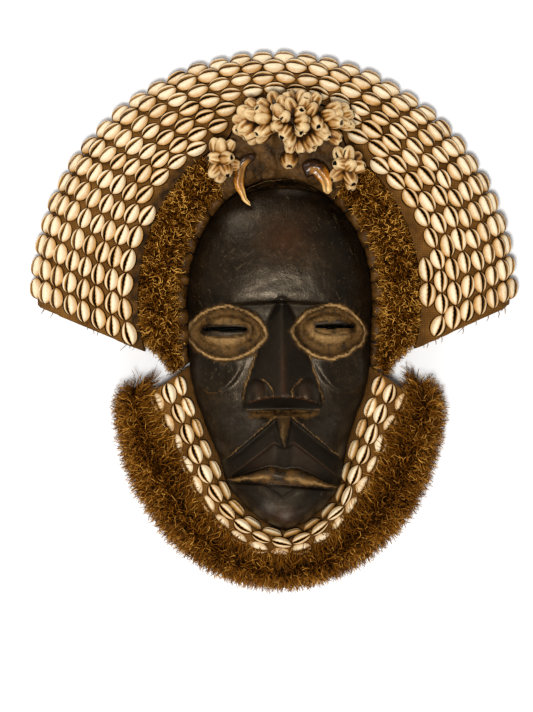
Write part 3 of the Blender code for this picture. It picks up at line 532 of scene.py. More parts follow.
def cloth_look(name, dark, light):
    """Coarse woven cloth with stains and worn, dirty edges."""
    look = Look(name, 0.95, 0.1)
    place = look.place
    threads = []
    for way, scale in (("X", 230.0), ("Y", 210.0)):
        wave = look.add("ShaderNodeTexWave", wave_type="BANDS", bands_direction=way)
        for key, value in (("Scale", scale), ("Distortion", 3.0), ("Detail", 2.0), ("Detail Scale", 1.5)):
            wave.inputs[key].default_value = value
        look.join(place, wave.inputs["Vector"])
        threads.append(wave.outputs["Fac"])
    weave = look.times(threads[0], threads[1])
    stain = look.blotches((45.0, 6.0, 0.7), 0.3, 0.7)
    body = look.mix(stain, dark, light)
    worn = look.times(look.attribute("worn"), look.blotches((130.0, 5.0), 0.25, 0.6))
    body = look.mix(worn, body, (0.030, 0.022, 0.014))
    look.colour(look.mix(look.curve(weave, 0.0, 0.6, 0.55, 0.0), body, tuple(0.35 * c for c in dark)))
    look.bump(weave, 0.0005, 0.7)
    look.bump(look.noise(260.0, 4.0), 0.0008, 0.4)
    return look.material


def fibre_look():
    """Strands that run from dark roots to pale tips, each with its own tone: the dark roots are painted
    shade, and the palest mix is a painted highlight.
    """
    look = Look("fibre", 0.55, 0.12)
    strand = look.attribute("strand")
    tip = look.attribute("tip")
    # Darker towards the root as painted shade in the depths of the mass, lighter towards the tip
    value = look.plus(look.times(strand, 0.75), look.times(tip, 0.45))
    patch = look.blotches((38.0, 3.0), 0.3, 0.7, -0.12, 0.12)
    value = look.plus(value, patch)
    low = look.mix(look.curve(value, 0.14, 0.64), (0.010, 0.0032, 0.0004), (0.26, 0.100, 0.0065))
    # Painted highlight: the highest values turn pale gold
    look.colour(look.mix(look.curve(value, 0.68, 1.04), low, (0.92, 0.52, 0.120)))
    return look.material


def depth_shade_look():
    """The matted depths between the strands, coloured dark as painted shade."""
    look = Look("fibre_depths_shade", 0.95, 0.0)
    tangle = look.noise(800.0, 5.0, 0.7, stretch=(1.0, 1.0, 0.5))
    look.colour(look.mix(look.curve(tangle, 0.44, 0.62), (0.006, 0.0020, 0.0003), (0.100, 0.038, 0.0035)))
    look.bump(tangle, 0.0008, 0.6)
    return look.material


def hide_look(name, dark, light, gloss):
    """Leather with a grain, pale scuffs and painted shade in its hollows."""
    look = Look(name, gloss, 0.22)
    wide = look.blotches((70.0, 6.0, 0.7), 0.3, 0.7)
    fine = look.noise(420.0, 5.0, 0.7)
    body = look.mix(wide, dark, light)
    # Painted shade: dark where the hide roll is drawn in between lumps, and over each bunch's knot
    body = look.mix(look.curve(look.attribute("hollow_shade"), 0.2, 0.9), body, (0.012, 0.007, 0.004))
    pale = look.times(look.curve(fine, 0.55, 0.75), 0.4)
    look.colour(look.mix(pale, body, tuple(min(1.0, 1.9 * c) for c in light)))
    look.bump(fine, 0.0005, 0.6)
    look.bump(look.noise(110.0, 6.0, 0.7), 0.0012, 0.6)
    return look.material


def tooth_look():
    """Amber enamel with a dark root, a pale inner side that is a painted highlight, painted shade in its
    groove, streaks and cracks.
    """
    look = Look("tooth", 0.28)
    along = look.attribute("along")
    streak = look.noise(190.0, 6.0, 0.65)
    place = look.plus(along, look.times(look.minus(streak, 0.5), 0.7))
    root = look.mix(look.curve(place, 0.34, 0.66), (0.034, 0.014, 0.005), (0.48, 0.18, 0.012))
    # Painted highlight: a pale strip along the inner side, near the root
    inner = look.curve(look.attribute("inner"), 0.80, 1.0)
    pale = look.times(inner, look.curve(along, 0.08, 0.20, 0.0, 0.7))
    root = look.mix(pale, root, (0.60, 0.28, 0.050))
    tip = look.mix(look.curve(place, 0.60, 0.95), root, (0.74, 0.48, 0.19))
    cracks = look.blotches((420.0, 4.0, 0.7), 0.60, 0.68)
    tip = look.mix(look.times(cracks, 0.6), tip, (0.13, 0.045, 0.008))
    # Painted shade in the groove
    look.colour(look.mix(look.attribute("hollow_shade"), tip, (0.030, 0.013, 0.004)))
    look.bump(streak, 0.0006, 0.5)
    return look.material


WOOD = wood_look()
# The third colour of each shell is the near-black of the painted shadow round and under the shells
SHELL = shell_look("cowrie", (0.80, 0.67, 0.46), (0.50, 0.255, 0.065), (0.018, 0.007, 0.0015))
TIED_SHELL = shell_look("tied_cowrie", (0.68, 0.495, 0.265), (0.31, 0.138, 0.026), (0.040, 0.0175, 0.0045))
CLOTH = cloth_look("brown_cloth", (0.120, 0.052, 0.011), (0.34, 0.170, 0.046))
FIBRE = fibre_look()
# The dark core is painted shade between the strands
CORE = depth_shade_look()
HIDE = hide_look("rolled_hide", (0.022, 0.009, 0.0016), (0.140, 0.066, 0.014), 0.50)
PAD = hide_look("pad_leather", (0.007, 0.0028, 0.0006), (0.160, 0.080, 0.022), 0.62)
TOOTH = tooth_look()


# Wooden face
def eye_oval(x, y, eye):
    """1 along an eye's pointed oval ring, less inside it and more outside it."""
    across = np.abs(x - eye[0]) / eye[2]
    along = np.abs(y - eye[1]) / eye[3]
    return (across**1.8 + along**1.55) ** 0.6


def slit_leaf(x, slit):
    """1 over the middle of a slit and 0 beyond its ends."""
    return np.sqrt(np.clip(1 - ((x - slit[0]) / (slit[2] + 4)) ** 2, 0, 1))


def eye_relief(x, y, eye, slit):
    """A pointed oval ring round a sunken socket, with two swelling lids and a slit between them."""
    oval = eye_oval(x, y, eye)
    ring = 3.0 * bell(oval - 1.0, 0.05) + 1.5 * np.exp(-np.clip(oval - 1, 0, None) / 0.12)
    socket = -7.5 * ramp(1.0 - oval, 0.0, 0.14)
    mound = ((x - eye[0]) / (0.74 * eye[2])) ** 2 + ((y - slit[1] + 2.5) / (0.62 * eye[3])) ** 2
    lids = 9.0 * np.sqrt(np.clip(1 - mound, 0, 1))
    leaf = slit_leaf(x, slit)
    above = y - slit[1]
    rims = 1.2 * bell(above - 4.2 * leaf, 1.2) + 1.4 * bell(above + 4.6 * leaf, 1.4)
    crease = -2.2 * bell(above + 8.4 * leaf, 0.9) - 1.6 * bell(above - 8.0 * leaf, 0.9)
    groove = -3.5 * bell(above, 2.0)
    detail = (rims + crease + groove) * ramp(leaf, 0.1, 0.5)
    return np.where(oval < 1.6, ring + socket + lids + detail, 0.0)


def wing_arc(aside, y):
    """0 along the carved arc that parts each nostril wing from the ridge, in units across it."""
    return np.hypot((aside - 24.5) * 1.2, y + 97) - 18.5


def nose_edge(aside):
    """Height of the front edge of the nose's underside."""
    return -96.3 - 0.0054 * aside**2


def nose_relief(aside, y):
    """A straight wedge that widens from the brow, with two rounded wings and a hollow underside."""
    reach = np.clip((-2 - y) / 95, 0, 1)
    ridge = 5 + 27 * reach**1.05
    wedge = ridge * np.clip(1 - (aside / nose_side(y)) ** 1.2, 0, 1) ** 0.85
    wing = ((aside - 24) / 14.8) ** 2 + (np.clip(y + 97, 0, None) / 19.5) ** 2
    wings = 24 * np.clip(1 - wing, 0, 1) ** 0.38
    groove = -2.4 * bell(wing_arc(aside, y), 1.3) * ramp(22 - aside, 0, 3) * ramp(y, -98, -94)
    under = np.clip((y + 108.6) / (nose_edge(aside) + 108.6), 0, 1)
    cut = np.where(y < nose_edge(aside), 0.82 * under**1.3, 1.0)
    return np.where(y < 4, (np.maximum(wedge, wings) + groove) * cut * ramp(-y, -4, 3), 0.0)


def cheek_line(x):
    """Height of the curved lower edge of the cheekbone's swell."""
    return -92.5 + 0.028 * (np.abs(x) - 66) ** 2


def cheek_relief(x, y):
    """A low swell over each cheekbone, which breaks off along its lower edge."""
    soft = 1.2 + 3.4 * ramp(57 - np.abs(x), 0, 14)
    swell = 3.8 * ramp(y - cheek_line(x), -soft, soft) * np.exp(-np.clip(y - cheek_line(x), 0, None) / 22)
    return swell * ramp(33 - np.abs(np.abs(x) - 63), 0, 14) * ramp(-y, 44, 58)


def muzzle_lines(aside, tilt):
    """The two chevrons, the upper edge of the lip and the mouth, as heights across the face."""
    first = -115.6 - 0.86 * np.clip(aside - 7.5, 0, None)
    second = -146.3 + 4.6 * ramp(aside, 0, 10.2) - 0.78 * np.clip(aside - 10.2, 0, None)
    lip = -166.2 - 0.384 * np.clip(aside - 15, 0, None) - 1.5 * ramp(8 - aside, 0, 6) - tilt
    mouth = -181.8 - 0.05 * aside - tilt
    return first, second, np.minimum(lip, second - 0.5), np.minimum(mouth, second - 1.0)


def on_muzzle_grid(x, y):
    """Place across the carving's middle, its distance from it, and the muzzle's four lines."""
    across = x - carving_middle(y)
    aside = np.abs(across)
    return across, aside, *muzzle_lines(aside, 0.07 * across)


def philtrum_half(y):
    """Half the width of the strip that narrows from the nose down to the lower chevron."""
    return np.clip(9.9 + (y + 109) * 0.215, 1.2, 9.9)


def muzzle_relief(x, y):
    """Chevron terraces under the nose, slanting down to full lips and a split lower lip."""
    _, aside, first, second, lip, mouth = on_muzzle_grid(x, y)
    band_share = np.clip((first - y) / (first - second), 0, 1)
    slant_share = np.clip((second - y) / np.maximum(second - lip, 0.5), 0, 1)
    lip_share = np.clip((lip - y) / np.maximum(lip - mouth, 0.5), 0, 1)
    under = np.clip(mouth - y, 0, None)
    fold = y + 196.5 - 0.62 * aside
    above = 9.5 * np.exp(-np.clip(y - first, 0, None) / 15)
    band = 9.5 - 7.5 * ramp(band_share, 0, 0.12) + 5.5 * band_share**1.5
    slant = 7.5 - 3.0 * ramp(slant_share, 0, 0.10) - 9.5 * slant_share
    lips = -5.0 + 3.5 * ramp(lip_share, 0, 0.2) + 5.0 * np.sin(np.pi * np.clip(lip_share, 0, 0.85))
    below = -3.2 + 6.6 * ramp(under, 0.8, 4) - 4.0 * ramp(under, 8, 24)
    below = below + 0.8 * bell(fold, 1.3) * ramp(24 - aside, 0, 6) - 1.2 * ramp(fold, 0, 4)
    relief = np.where(y > first, above, band)
    relief = np.where(y > second, relief, slant)
    relief = np.where(y > lip, relief, lips)
    relief = np.where(y > mouth, relief, below)
    strip = 4.0 * ramp(philtrum_half(y) - aside, -1.5, 1.5)
    relief = relief + np.where((y > second) & (y < first), strip, 0)
    return relief * ramp(63 - aside, 0, 10) * ramp(-y, 106, 118)


def crown_ledge(x, y):
    """A step down from the forehead to a narrow ledge along the crown."""
    beyond = y - CROWN_UNITS + 10.6 + 0.004 * (x - 3) ** 2
    return -5.0 * ramp(beyond, -0.7, 0.9) * ramp(44 - np.abs(x - 3), 0, 14)


def face_height(x, y):
    """Height of the carved front over the back plane, in units, at points in units."""
    share = np.clip(np.abs(x - lean(y)) / np.maximum(half_width(y), 1e-6), 0, 1)
    edge_height = FACE_EDGE_HEIGHT / Z_UNIT
    dome = (1 - share**2.5) ** 0.55
    brow_softness = 1.8 + 26 * ramp(np.abs(x), 46, 84)
    brow = ramp(y + 2.2 + 0.06 * np.abs(x - 2), -brow_softness, brow_softness)
    middle = lower_height(y) * (1 - brow) + forehead_height(y) * brow
    height = edge_height + (middle - edge_height) * dome
    inside = ramp(1 - share, 0, 0.10)
    carving = nose_relief(np.abs(x - carving_middle(y)), y) + cheek_relief(x, y) + muzzle_relief(x, y)
    carving = carving + eye_relief(x, y, LEFT_EYE, LEFT_SLIT) + eye_relief(x, y, RIGHT_EYE, RIGHT_SLIT)
    points = flat_points(x, y)
    tool_marks = 0.30 * rough(points, 26.0) + 0.14 * rough(points + 300, 8.0)
    return height + (carving + tool_marks) * inside + crown_ledge(x, y)


def face_pigment_and_highlight(x, y):
    """Where ochre lies on the wood, from 0 to 1: rings, sockets, the philtrum and the upper lip, with
    painted highlights along the cheek lines and the lower lip's edge.
    """
    points = flat_points(x, y)
    x = x + 0.7 * rough(points + 50, 7.0) + 0.45 * rough(points + 90, 3.0)
    y = y + 0.7 * rough(points + 130, 7.0) + 0.45 * rough(points + 170, 3.0)
    across, aside, first, second, lip, mouth = on_muzzle_grid(x, y)
    paint = []
    for (eye, slit), lower in zip(EYES, LOWER_LID_BARE):
        oval = eye_oval(x, y, eye)
        leaf = slit_leaf(x, slit)
        above = y - slit[1]
        bare = bell(above - 3.6 * leaf, 1.5) + lower * bell(above + 4.4 * leaf, 2.1)
        bare = np.clip(bare * ramp(leaf, 0.25, 0.8), 0, 1)
        paint.append(1.20 * bell(oval - 1.03, 0.055))
        paint.append(0.80 * np.exp(-np.clip(oval - 1.03, 0, None) / 0.16) * (oval > 1))
        paint.append((0.62 + 0.18 * ramp(0.66 - oval, 0, 0.25)) * ramp(0.99 - oval, 0, 0.03) * (1 - bare))
    on_muzzle = ramp(59 - aside, 0, 4) * ramp(aside, 5, 8)
    paint.append(0.90 * bell(y - first - 0.5, 0.9) * on_muzzle)
    strip = ramp(philtrum_half(y) - aside, -1.5, 2.5) * ramp(-y, 108, 110) * ramp(y - second, 0, 1)
    paint.append((0.60 + 0.28 * bell(across + 1.0, 1.2) * ramp(-y, 118, 128)) * strip)
    lip_share = np.clip((lip - y) / np.maximum(lip - mouth, 0.5), 0, 1)
    on_lip = ramp(lip - y, -0.3, 1.2) * ramp(y - mouth, -1.5, 0.5) * ramp(60 - aside, 0, 3)
    split = 1 - 0.8 * np.exp(-((across + 6) ** 2) / 40 - ((lip_share - 0.62) / 0.16) ** 2)
    paint.append((0.50 + 0.30 * bell(lip_share - 0.66, 0.16)) * on_lip * split)
    arcs = 1.05 * bell(wing_arc(aside, y), 1.2)
    paint.append(arcs * ramp(22 - aside, 0, 2) * ramp(y, -98, -95) * ramp(-y, 74, 77))
    beside = np.abs(aside - nose_side(y) - 0.8)
    paint.append(0.86 * bell(beside, 1.6) * ramp(-y, 46, 56) * ramp(y, -106, -96))
    haze = 0.42 * np.exp(-beside / 9.0) * (aside > nose_side(y))
    paint.append(haze * ramp(-y, 56, 70) * ramp(y, -120, -100))
    paint.append(0.66 * bell(y + 110, 1.1) * ramp(39 - aside, 0, 3))
    paint.append(0.5 * bell(y + 3.4 + 0.06 * np.abs(x - 2), 0.8) * ramp(34 - np.abs(x), 0, 12))
    crown = CROWN_UNITS - y - 0.0082 * (x - 3) ** 2
    paint.append(1.0 * bell(crown - 0.9, 0.9) * ramp(46 - np.abs(x - 3), 0, 8))
    paint.append(0.62 * bell(y + 114.5, 5.5) * ramp(46 - aside, 0, 18))
    paint.append(0.44 * ramp(-crown_ledge(x, y), 1.5, 4.0))
    # Painted highlight: a pale line along the lower edge of each cheek swell
    edge = bell(y - cheek_line(x), 0.8) * ramp(15 - np.abs(np.abs(x) - 67), 0, 7) * ramp(-y, 60, 70)
    paint.append(0.62 * edge)
    # Painted highlight: a pale line along the top edge of the lower lip
    paint.append(0.60 * bell(y - mouth + 1.6, 0.7) * ramp(17 - aside, 0, 4))
    return np.max(paint, axis=0)


def face_wear(x, y):
    """Where handling has rubbed the black down to reddish brown, from 0 to 1."""
    across, aside, _, second, lip, mouth = on_muzzle_grid(x, y)
    nose = 0.55 * bell(across - 1, 3) * ramp(-y, 30, 70) * ramp(y, -98, -92)
    tip = 0.65 * bell(y - nose_edge(aside), 0.8) * ramp(36 - aside, 0, 5)
    wings = 0.45 * np.exp(-((aside - 22) ** 2 + (y + 90) ** 2) / 40)
    ridge = 1.3 * bell(y - second, 1.1) * ramp(56 - aside, 0, 4) * ramp(aside, 6, 10)
    slant = 0.45 * ramp(second - y, 0, 2) * ramp(y - lip, 0, 3)
    slant = slant * ramp(44 - aside, 0, 20) * ramp(aside, 6, 12)
    mouth_edge = 0.6 * bell(y - mouth, 0.8) * ramp(26 - aside, 0, 8)
    forehead = 0.30 * oval_patch(x, y, 6, 60, 24, 24)
    chin = 0.35 * oval_patch(x, y, 4, -214, 12, 9)
    return np.max([nose, tip, wings, ridge, slant, mouth_edge, forehead, chin], axis=0)


# Painted glints on polished places: centre across and along, half width and half height in units, and
# strength
POLISHED_GLINTS = (
    (-10, -206, 8, 7, 0.8),
    (6, -215, 6, 6, 0.9),
    (12, 108, 15, 4, 0.9),
    (-45, 81, 11, 11, 0.35),
    (-21, 9, 22, 7, 0.4),
    (30, 12, 14, 11, 0.25),
    (6, -95, 4, 1.6, 1.0),
    (1, -183.5, 14, 1.0, 1.0),
    (-58, -34.6, 12, 1.5, 1.0),
    (54, -21.8, 13, 1.3, 1.0),
    (38, -74, 7, 17, 0.5),
    (-33, -68, 6, 15, 0.4),
    (-40, -120, 20, 16, 0.3),
    (46, -120, 20, 16, 0.3),
)


def face_glint_and_polish(x, y):
    """Painted highlights, from 0 to 1: where the black is lightened to a greyish glint, and made glossier.
    """
    places = []
    for across, along, wide, high, strength in POLISHED_GLINTS:
        places.append(strength * oval_patch(x, y, across, along, wide, high))
    return np.max(places, axis=0)


def face_painted_shade(x, y):
    """Painted shade, from 0 to 1: the black made deepest and dullest under the nose, below each ridge,
    beside the nose, in the mouth, under the brow, in the eye sockets and lid creases, along the outline and
    on the crown ledge.
    """
    _, aside, first, second, lip, mouth = on_muzzle_grid(x, y)
    on_muzzle = ramp(64 - aside, 0, 6)
    under_nose = ramp(nose_edge(aside) - 0.6 - y, 0, 1) * ramp(y, -109.2, -108) * ramp(40 - aside, 0, 1.5)
    band = 0.80 * ramp(first - y, 0, 1.5) * ramp(y - lip, 0, 1.5) * on_muzzle
    notch = 0.9 * ramp(second - y, 0, 1.5) * ramp(y - lip, 0, 1.5) * ramp(14 - aside, 0, 8)
    lower = 0.35 * ramp(mouth - y, 0, 2) * ramp(y, -215, -195)
    gap = 0.95 * ramp(y + 197.5 - 0.62 * aside, -0.5, 1.0) * ramp(mouth - 2.6 - y, 0, 1.2)
    lower = np.maximum(lower, gap)
    beside_nose = 0.55 * ramp(nose_side(y) - aside, -2, 1) * ramp(-y, 3, 7) * ramp(y, -97, -93)
    outline = 0.5 * ramp(np.abs(x - lean(y)) / np.maximum(half_width(y), 1), 0.86, 1.0)
    outline = outline * ramp(100 - y, 0, 15)
    brow = 0.8 * np.exp(-np.abs(y + 8) / 4.0) * ramp(-y, 2.5, 5) * ramp(56 - np.abs(x), 0, 20)
    crown = 0.22 * ramp(-crown_ledge(x, y), 1.5, 4.0)
    shade = 0.0
    for eye, slit in EYES:
        oval = eye_oval(x, y, eye)
        low = bell(oval - 0.86, 0.10) * ramp(eye[1] - y, 0, 14)
        crease = bell(y - slit[1] + 8.4 * slit_leaf(x, slit), 1.0) * ramp(slit_leaf(x, slit), 0.2, 0.6)
        shade = np.maximum(shade, np.maximum(0.50 * low, 0.9 * crease))
    return np.max([under_nose, band, notch, lower, beside_nose, outline, brow, crown, shade], axis=0)


# Each attribute of the wood with its rule for the front, and its value behind
FACE_PAINT = (
    ("ochre_and_highlight", face_pigment_and_highlight, 0.0),
    ("worn", face_wear, 0.30),
    ("painted_shade", face_painted_shade, 0.0),
    ("glint_and_polish", face_glint_and_polish, 0.0),
)


def dome_grid(rows, sides, height, columns, first):
    """A dome over the outline, from one end point to the other: its points, faces and edge loop."""
    shares = np.sin(np.linspace(-math.pi / 2, math.pi / 2, columns + 1) * 0.92) / math.sin(math.pi * 0.46)
    middle_y = rows[1:-1, None] + 0 * shares[None, :]
    middle_x = lean(middle_y) + shares[None, :] * sides[1:-1, None]
    x = np.concatenate([[lean(rows[0])], middle_x.ravel(), [lean(rows[-1])]])
    y = np.concatenate([[rows[0]], middle_y.ravel(), [rows[-1]]])
    points = np.stack([x, y, height(x, y)], axis=-1)
    width = columns + 1
    count = len(rows) - 2
    last = first + 1 + count * width
    row, column = np.meshgrid(np.arange(count - 1), np.arange(columns), indexing="ij")
    start = first + 1 + row * width + column
    quads = np.stack([start, start + width, start + width + 1, start + 1], axis=-1).reshape(-1, 4)
    ends = [(first, first + 1 + i, first + 2 + i, -1) for i in range(columns)]
    ends += [(last, last - width + i + 1, last - width + i, -1) for i in range(columns)]
    right = [first + 1 + i * width + columns for i in range(count)]
    left = [first + 1 + i * width for i in range(count)]
    return points, np.concatenate([quads, np.array(ends)]), [first] + right + [last] + left[::-1]


def build_face():
    """The carved shell at a fine step, with the same side wall, back rim and hollow as the solid."""
    wall_x = FACE_WALL / X_UNIT
    wall_y = FACE_WALL / Y_UNIT
    rows = outline_rows(CROWN_UNITS, -CHIN_UNITS, FACE_ROWS)
    front, faces, loop = dome_grid(rows, half_width(rows), face_height, FACE_COLUMNS, 0)
    edge = front[loop].copy()
    edge[:, 2] = 0.0
    top = CROWN_UNITS - wall_y
    bottom = CHIN_UNITS - CHIN_WALLS * wall_y
    inner_rows = outline_rows(top, -bottom, FACE_ROWS)
    inner_sides = np.maximum(half_width(inner_rows) - wall_x, 0.0)

    def hollow_height(x, y):
        end_share = np.where(y > 0, y / top, -y / bottom)
        side = np.maximum(half_width(y) - wall_x, 1e-6)
        share = np.clip(np.abs(x - lean(y)) / side, 0, 1)
        ends = np.sqrt(np.clip(1 - np.abs(end_share) ** 3, 0, 1))
        chisel = 0.5 * rough(flat_points(x, y * 0.6), 12.0) * ramp(1 - share, 0, 0.2)
        return (HOLLOW_UNITS - FACE_WALL / Z_UNIT) * (1 - share**2.5) ** 0.5 * ends + chisel * ends

    first = len(front) + len(edge)
    made = dome_grid(inner_rows, inner_sides, hollow_height, HOLLOW_COLUMNS, first)
    hollow, hollow_faces, hollow_loop = made
    loop = np.array(loop)
    inner = np.array(hollow_loop)
    hollow[inner - first, 2] = 0.0
    here = np.arange(len(loop))
    there = (here + 1) % len(loop)
    wall = np.stack([loop[there], len(front) + there, len(front) + here, loop[here]], axis=-1)
    rim = np.stack([len(front) + there, inner[there], inner[here], len(front) + here], axis=-1)
    units = np.concatenate([front, edge, hollow])
    points = units * [X_UNIT, Y_UNIT, Z_UNIT] + [FACE_X, FACE_Y, 0]
    paint = {}
    for key, rule, behind in FACE_PAINT:
        paint[key] = rule(units[:, 0], units[:, 1])
        paint[key][len(front) :] = behind
    all_faces = outward(points, np.concatenate([faces, wall, rim, flipped(hollow_faces)]))
    face = make_piece("carved_face", points, all_faces, WOOD, paint)
    for _, slit in EYES:
        pierce(face, slit)
    return face


SLIT_CORNERS = 28
SLIT_RAGGED = 0.10
CUT_MARGIN = 0.01


def pierce(face, slit):
    """Cuts an eye's slit through the wood: a narrow leaf shape, with the cut faces left black."""
    turn = np.linspace(0, 2 * math.pi, SLIT_CORNERS, endpoint=False)
    ragged = 1 + SLIT_RAGGED * np.sin(5 * turn + slit[0])
    x = FACE_X + (slit[0] + slit[2] * np.cos(turn)) * X_UNIT
    y = FACE_Y + (slit[1] + slit[3] * ragged * np.sin(turn)) * Y_UNIT
    low = np.stack([x, y, np.full_like(x, -CUT_MARGIN)], axis=-1)
    high = low + [0, 0, FACE_DEPTH + 2 * CUT_MARGIN]
    cutter = swept_piece("slit", np.array([low, high]), WOOD)
    modifier = face.modifiers.new("slit", "BOOLEAN")
    modifier.operation = "DIFFERENCE"
    modifier.object = cutter
    graph = bpy.context.evaluated_depsgraph_get()
    mesh = bpy.data.meshes.new_from_object(face.evaluated_get(graph))
    face.modifiers.clear()
    face.data = mesh
    bpy.data.objects.remove(cutter)


# Cowries
SHELL_ROWS = 16
SHELL_LEFT = 5
SHELL_RIGHT = 3


def cowrie(width, height, slit_place, bend):
    """One shell, aperture up, one unit long along +Y: points, faces and where its slit and tints are."""
    place = np.sin(np.linspace(-math.pi / 2, math.pi / 2, SHELL_ROWS + 1))
    half = width / 2 * (1 - np.abs(place) ** 2.1) ** 0.68 * (1 + 0.10 * place) + 0.018
    bow = 1 - place**2
    slit = half * (slit_place + bend * place) * (0.35 + 0.65 * bow**0.5)
    gap = half * (0.165 + 0.075 * place) * bow**0.15 + 0.004
    teeth = np.where(np.arange(SHELL_ROWS + 1) % 2 == 0, 1.0, -1.0)
    notch = gap * (1 + 0.22 * teeth)
    columns = []
    tints = []
    slits = []
    # Tints: gold towards the rims and beside the slit, and past 1.25 the near-black painted shade along the
    # right rim
    for share in np.linspace(0, 1, SHELL_LEFT + 1) ** 0.8:
        columns.append(-half + (slit - notch + half) * share)
        tints.append(0.95 * (1 - share) ** 5 + 0.9 * share**8)
        slits.append(0.0)
    for share in (0.06, 0.5, 0.94):
        columns.append(slit - notch + 2 * gap * share)
        tints.append(0.9)
        slits.append(1.0)
    for share in np.linspace(0, 1, SHELL_RIGHT + 1) ** 1.2:
        columns.append(slit + gap + (half - slit - gap) * share)
        tints.append(1.5 * share**4 + 1.3 * (1 - share) ** 6)
        slits.append(0.0)
    x = np.stack(columns, axis=-1)
    y = np.repeat(place[:, None] / 2, x.shape[1], axis=1)
    across = np.clip(np.abs(x) / half[:, None], 0, 1)
    swell = np.sqrt(np.clip(1 - np.abs(place) ** 3.5, 0, 1))[:, None]
    z = height * swell * (1 - across**2.8) ** 0.55
    near = (x - slit[:, None]) / (width * 0.12)
    z = z * (1 - 0.26 * np.exp(-(near**2))) + 0.012 * teeth[:, None] * bell(near, 1.2) * swell
    dark = np.array(slits)
    z = z - 0.85 * height * swell * (dark > 0)
    z = np.maximum(z, 0.0)
    size = x.shape[1]
    points = np.stack([x, y, z], axis=-1).reshape(-1, 3)
    row, column = np.meshgrid(np.arange(SHELL_ROWS), np.arange(size - 1), indexing="ij")
    start = row * size + column
    faces = np.stack([start, start + 1, start + 1 + size, start + size], axis=-1).reshape(-1, 4)
    loop = list(range(size))
    loop += [r * size + size - 1 for r in range(1, SHELL_ROWS + 1)]
    loop += [SHELL_ROWS * size + i for i in range(size - 2, -1, -1)]
    loop += [r * size for r in range(SHELL_ROWS - 1, 0, -1)]
    # The skirt: a flange just beyond the shell's edge, whose tint of 2.0 gives it the painted contact
    # shadow on the cloth round the shell
    skirt = points[loop] * [1.13, 1.03, 0] + [0, 0, 0.012]
    base = len(points)
    here = np.arange(len(loop))
    there = (here + 1) % len(loop)
    sides = np.stack([np.array(loop)[there], np.array(loop)[here], base + here, base + there], axis=-1)
    floor = np.array(fan([base + i for i in range(len(loop))][::-1]))
    tint = np.tile(tints, (SHELL_ROWS + 1, 1))
    # The two ends are tinted darker: gold, and at the very tips the painted shade colour
    tint = tint + 0.8 * np.abs(place[:, None]) ** 6
    slit_map = np.tile(dark, (SHELL_ROWS + 1, 1))
    tint = np.concatenate([tint.ravel(), np.full(len(loop), 2.0)])
    slit_map = np.concatenate([slit_map.ravel(), np.zeros(len(loop))])
    points = np.concatenate([points, skirt])
    return points, outward(points, np.concatenate([faces, sides, floor])), tint, slit_map


SHELL_KINDS = [
    cowrie(0.64, 0.33, 0.20, 0.06),
    cowrie(0.60, 0.35, 0.28, -0.04),
    cowrie(0.67, 0.32, 0.14, 0.10),
    cowrie(0.58, 0.34, 0.24, 0.02),
    cowrie(0.62, 0.30, 0.10, 0.12),
    cowrie(0.63, 0.33, 0.32, 0.00),
]


def place_shells(name, places, look, kinds=SHELL_KINDS, flips=0.07):
    """Copies of the shells in one mesh, each turned, tilted and tinted a little by chance.

    A place is a centre, its along, across and out vectors, a length, and a width as a share of
    the shell's own. flips is the share of shells that point the other way."""
    points = []
    faces = []
    tint = []
    slit = []
    shade = []
    count = 0
    for centre, along, across, out, length, widen in places:
        kind = kinds[chance.integers(len(kinds))]
        scale = length * chance.uniform(0.95, 1.03)
        turn = chance.normal() * 0.07
        ahead = along * math.cos(turn) + across * math.sin(turn)
        aside = across * math.cos(turn) - along * math.sin(turn)
        tilt = chance.normal() * 0.06
        up = out * math.cos(tilt) + aside * math.sin(tilt)
        aside = aside * math.cos(tilt) - out * math.sin(tilt)
        flip = -1.0 if chance.random() < flips else 1.0
        local = kind[0] * scale
        spots = centre + np.outer(local[:, 0] * widen, aside) + np.outer(local[:, 1] * flip, ahead)
        spots = spots + np.outer(local[:, 2], up)
        handed = np.dot(np.cross(aside, ahead * flip), up)
        turned = flipped(kind[1]) if handed < 0 else kind[1]
        faces.append(np.where(turned < 0, -1, turned + count))
        points.append(spots)
        tint.append(kind[2])
        slit.append(kind[3])
        shade.append(np.full(len(spots), chance.uniform(-0.5, 1.0)))
        count += len(spots)
    parts = {"tint": tint, "slit": slit, "shade": shade}
    attributes = {key: np.concatenate(values) for key, values in parts.items()}
    return make_piece(name, np.concatenate(points), np.concatenate(faces), look, attributes)


# Crest
def crest_profile():
    """Radius, height and sideways shift at each edge between two rows, from the inside out."""
    slopes = np.radians(CREST_ROW_SLOPES)
    drop = np.concatenate([[0], np.cumsum(CREST_ROW_WIDTH * np.sin(slopes))])
    start = FACE_WIDTH / 2 + HAIR_BAND + CREST_MARGIN
    radius = start + np.concatenate([[0], np.cumsum(CREST_ROW_WIDTH * np.cos(slopes))])
    height = CREST_RIM_HEIGHT + drop[-1] - drop
    return radius, height, np.linspace(FIRST_ROW_SHIFT, LAST_ROW_SHIFT, len(radius))


def wing_end(radius):
    """The angle at which an arc of the crest ends above its lower hem."""
    return math.radians(WING_ANGLE) - np.arcsin(np.minimum(WING_OFFSET / radius, 1.0))


def crest_point(radius, height, shift, angle):
    """Points of the crest at a radius and an angle about its own centre."""
    x = CREST_OFFSET[0] + shift + radius * np.cos(angle)
    y = CREST_OFFSET[1] + radius * np.sin(angle)
    return np.stack(np.broadcast_arrays(x + FACE_X, y + FACE_Y, height), axis=-1)


def clears_opening(points, margin):
    """Whether points of the crest lie outside its opening by the margin."""
    x = points[..., 0] - FACE_X
    y = points[..., 1] - FACE_Y
    turn = np.arctan2(y, x)
    turn = np.where(turn < -math.pi / 2, turn + 2 * math.pi, turn)
    return np.hypot(x, y) > opening_radius(turn) + margin


CREST_COLUMNS = 260
CREST_STEPS = 44


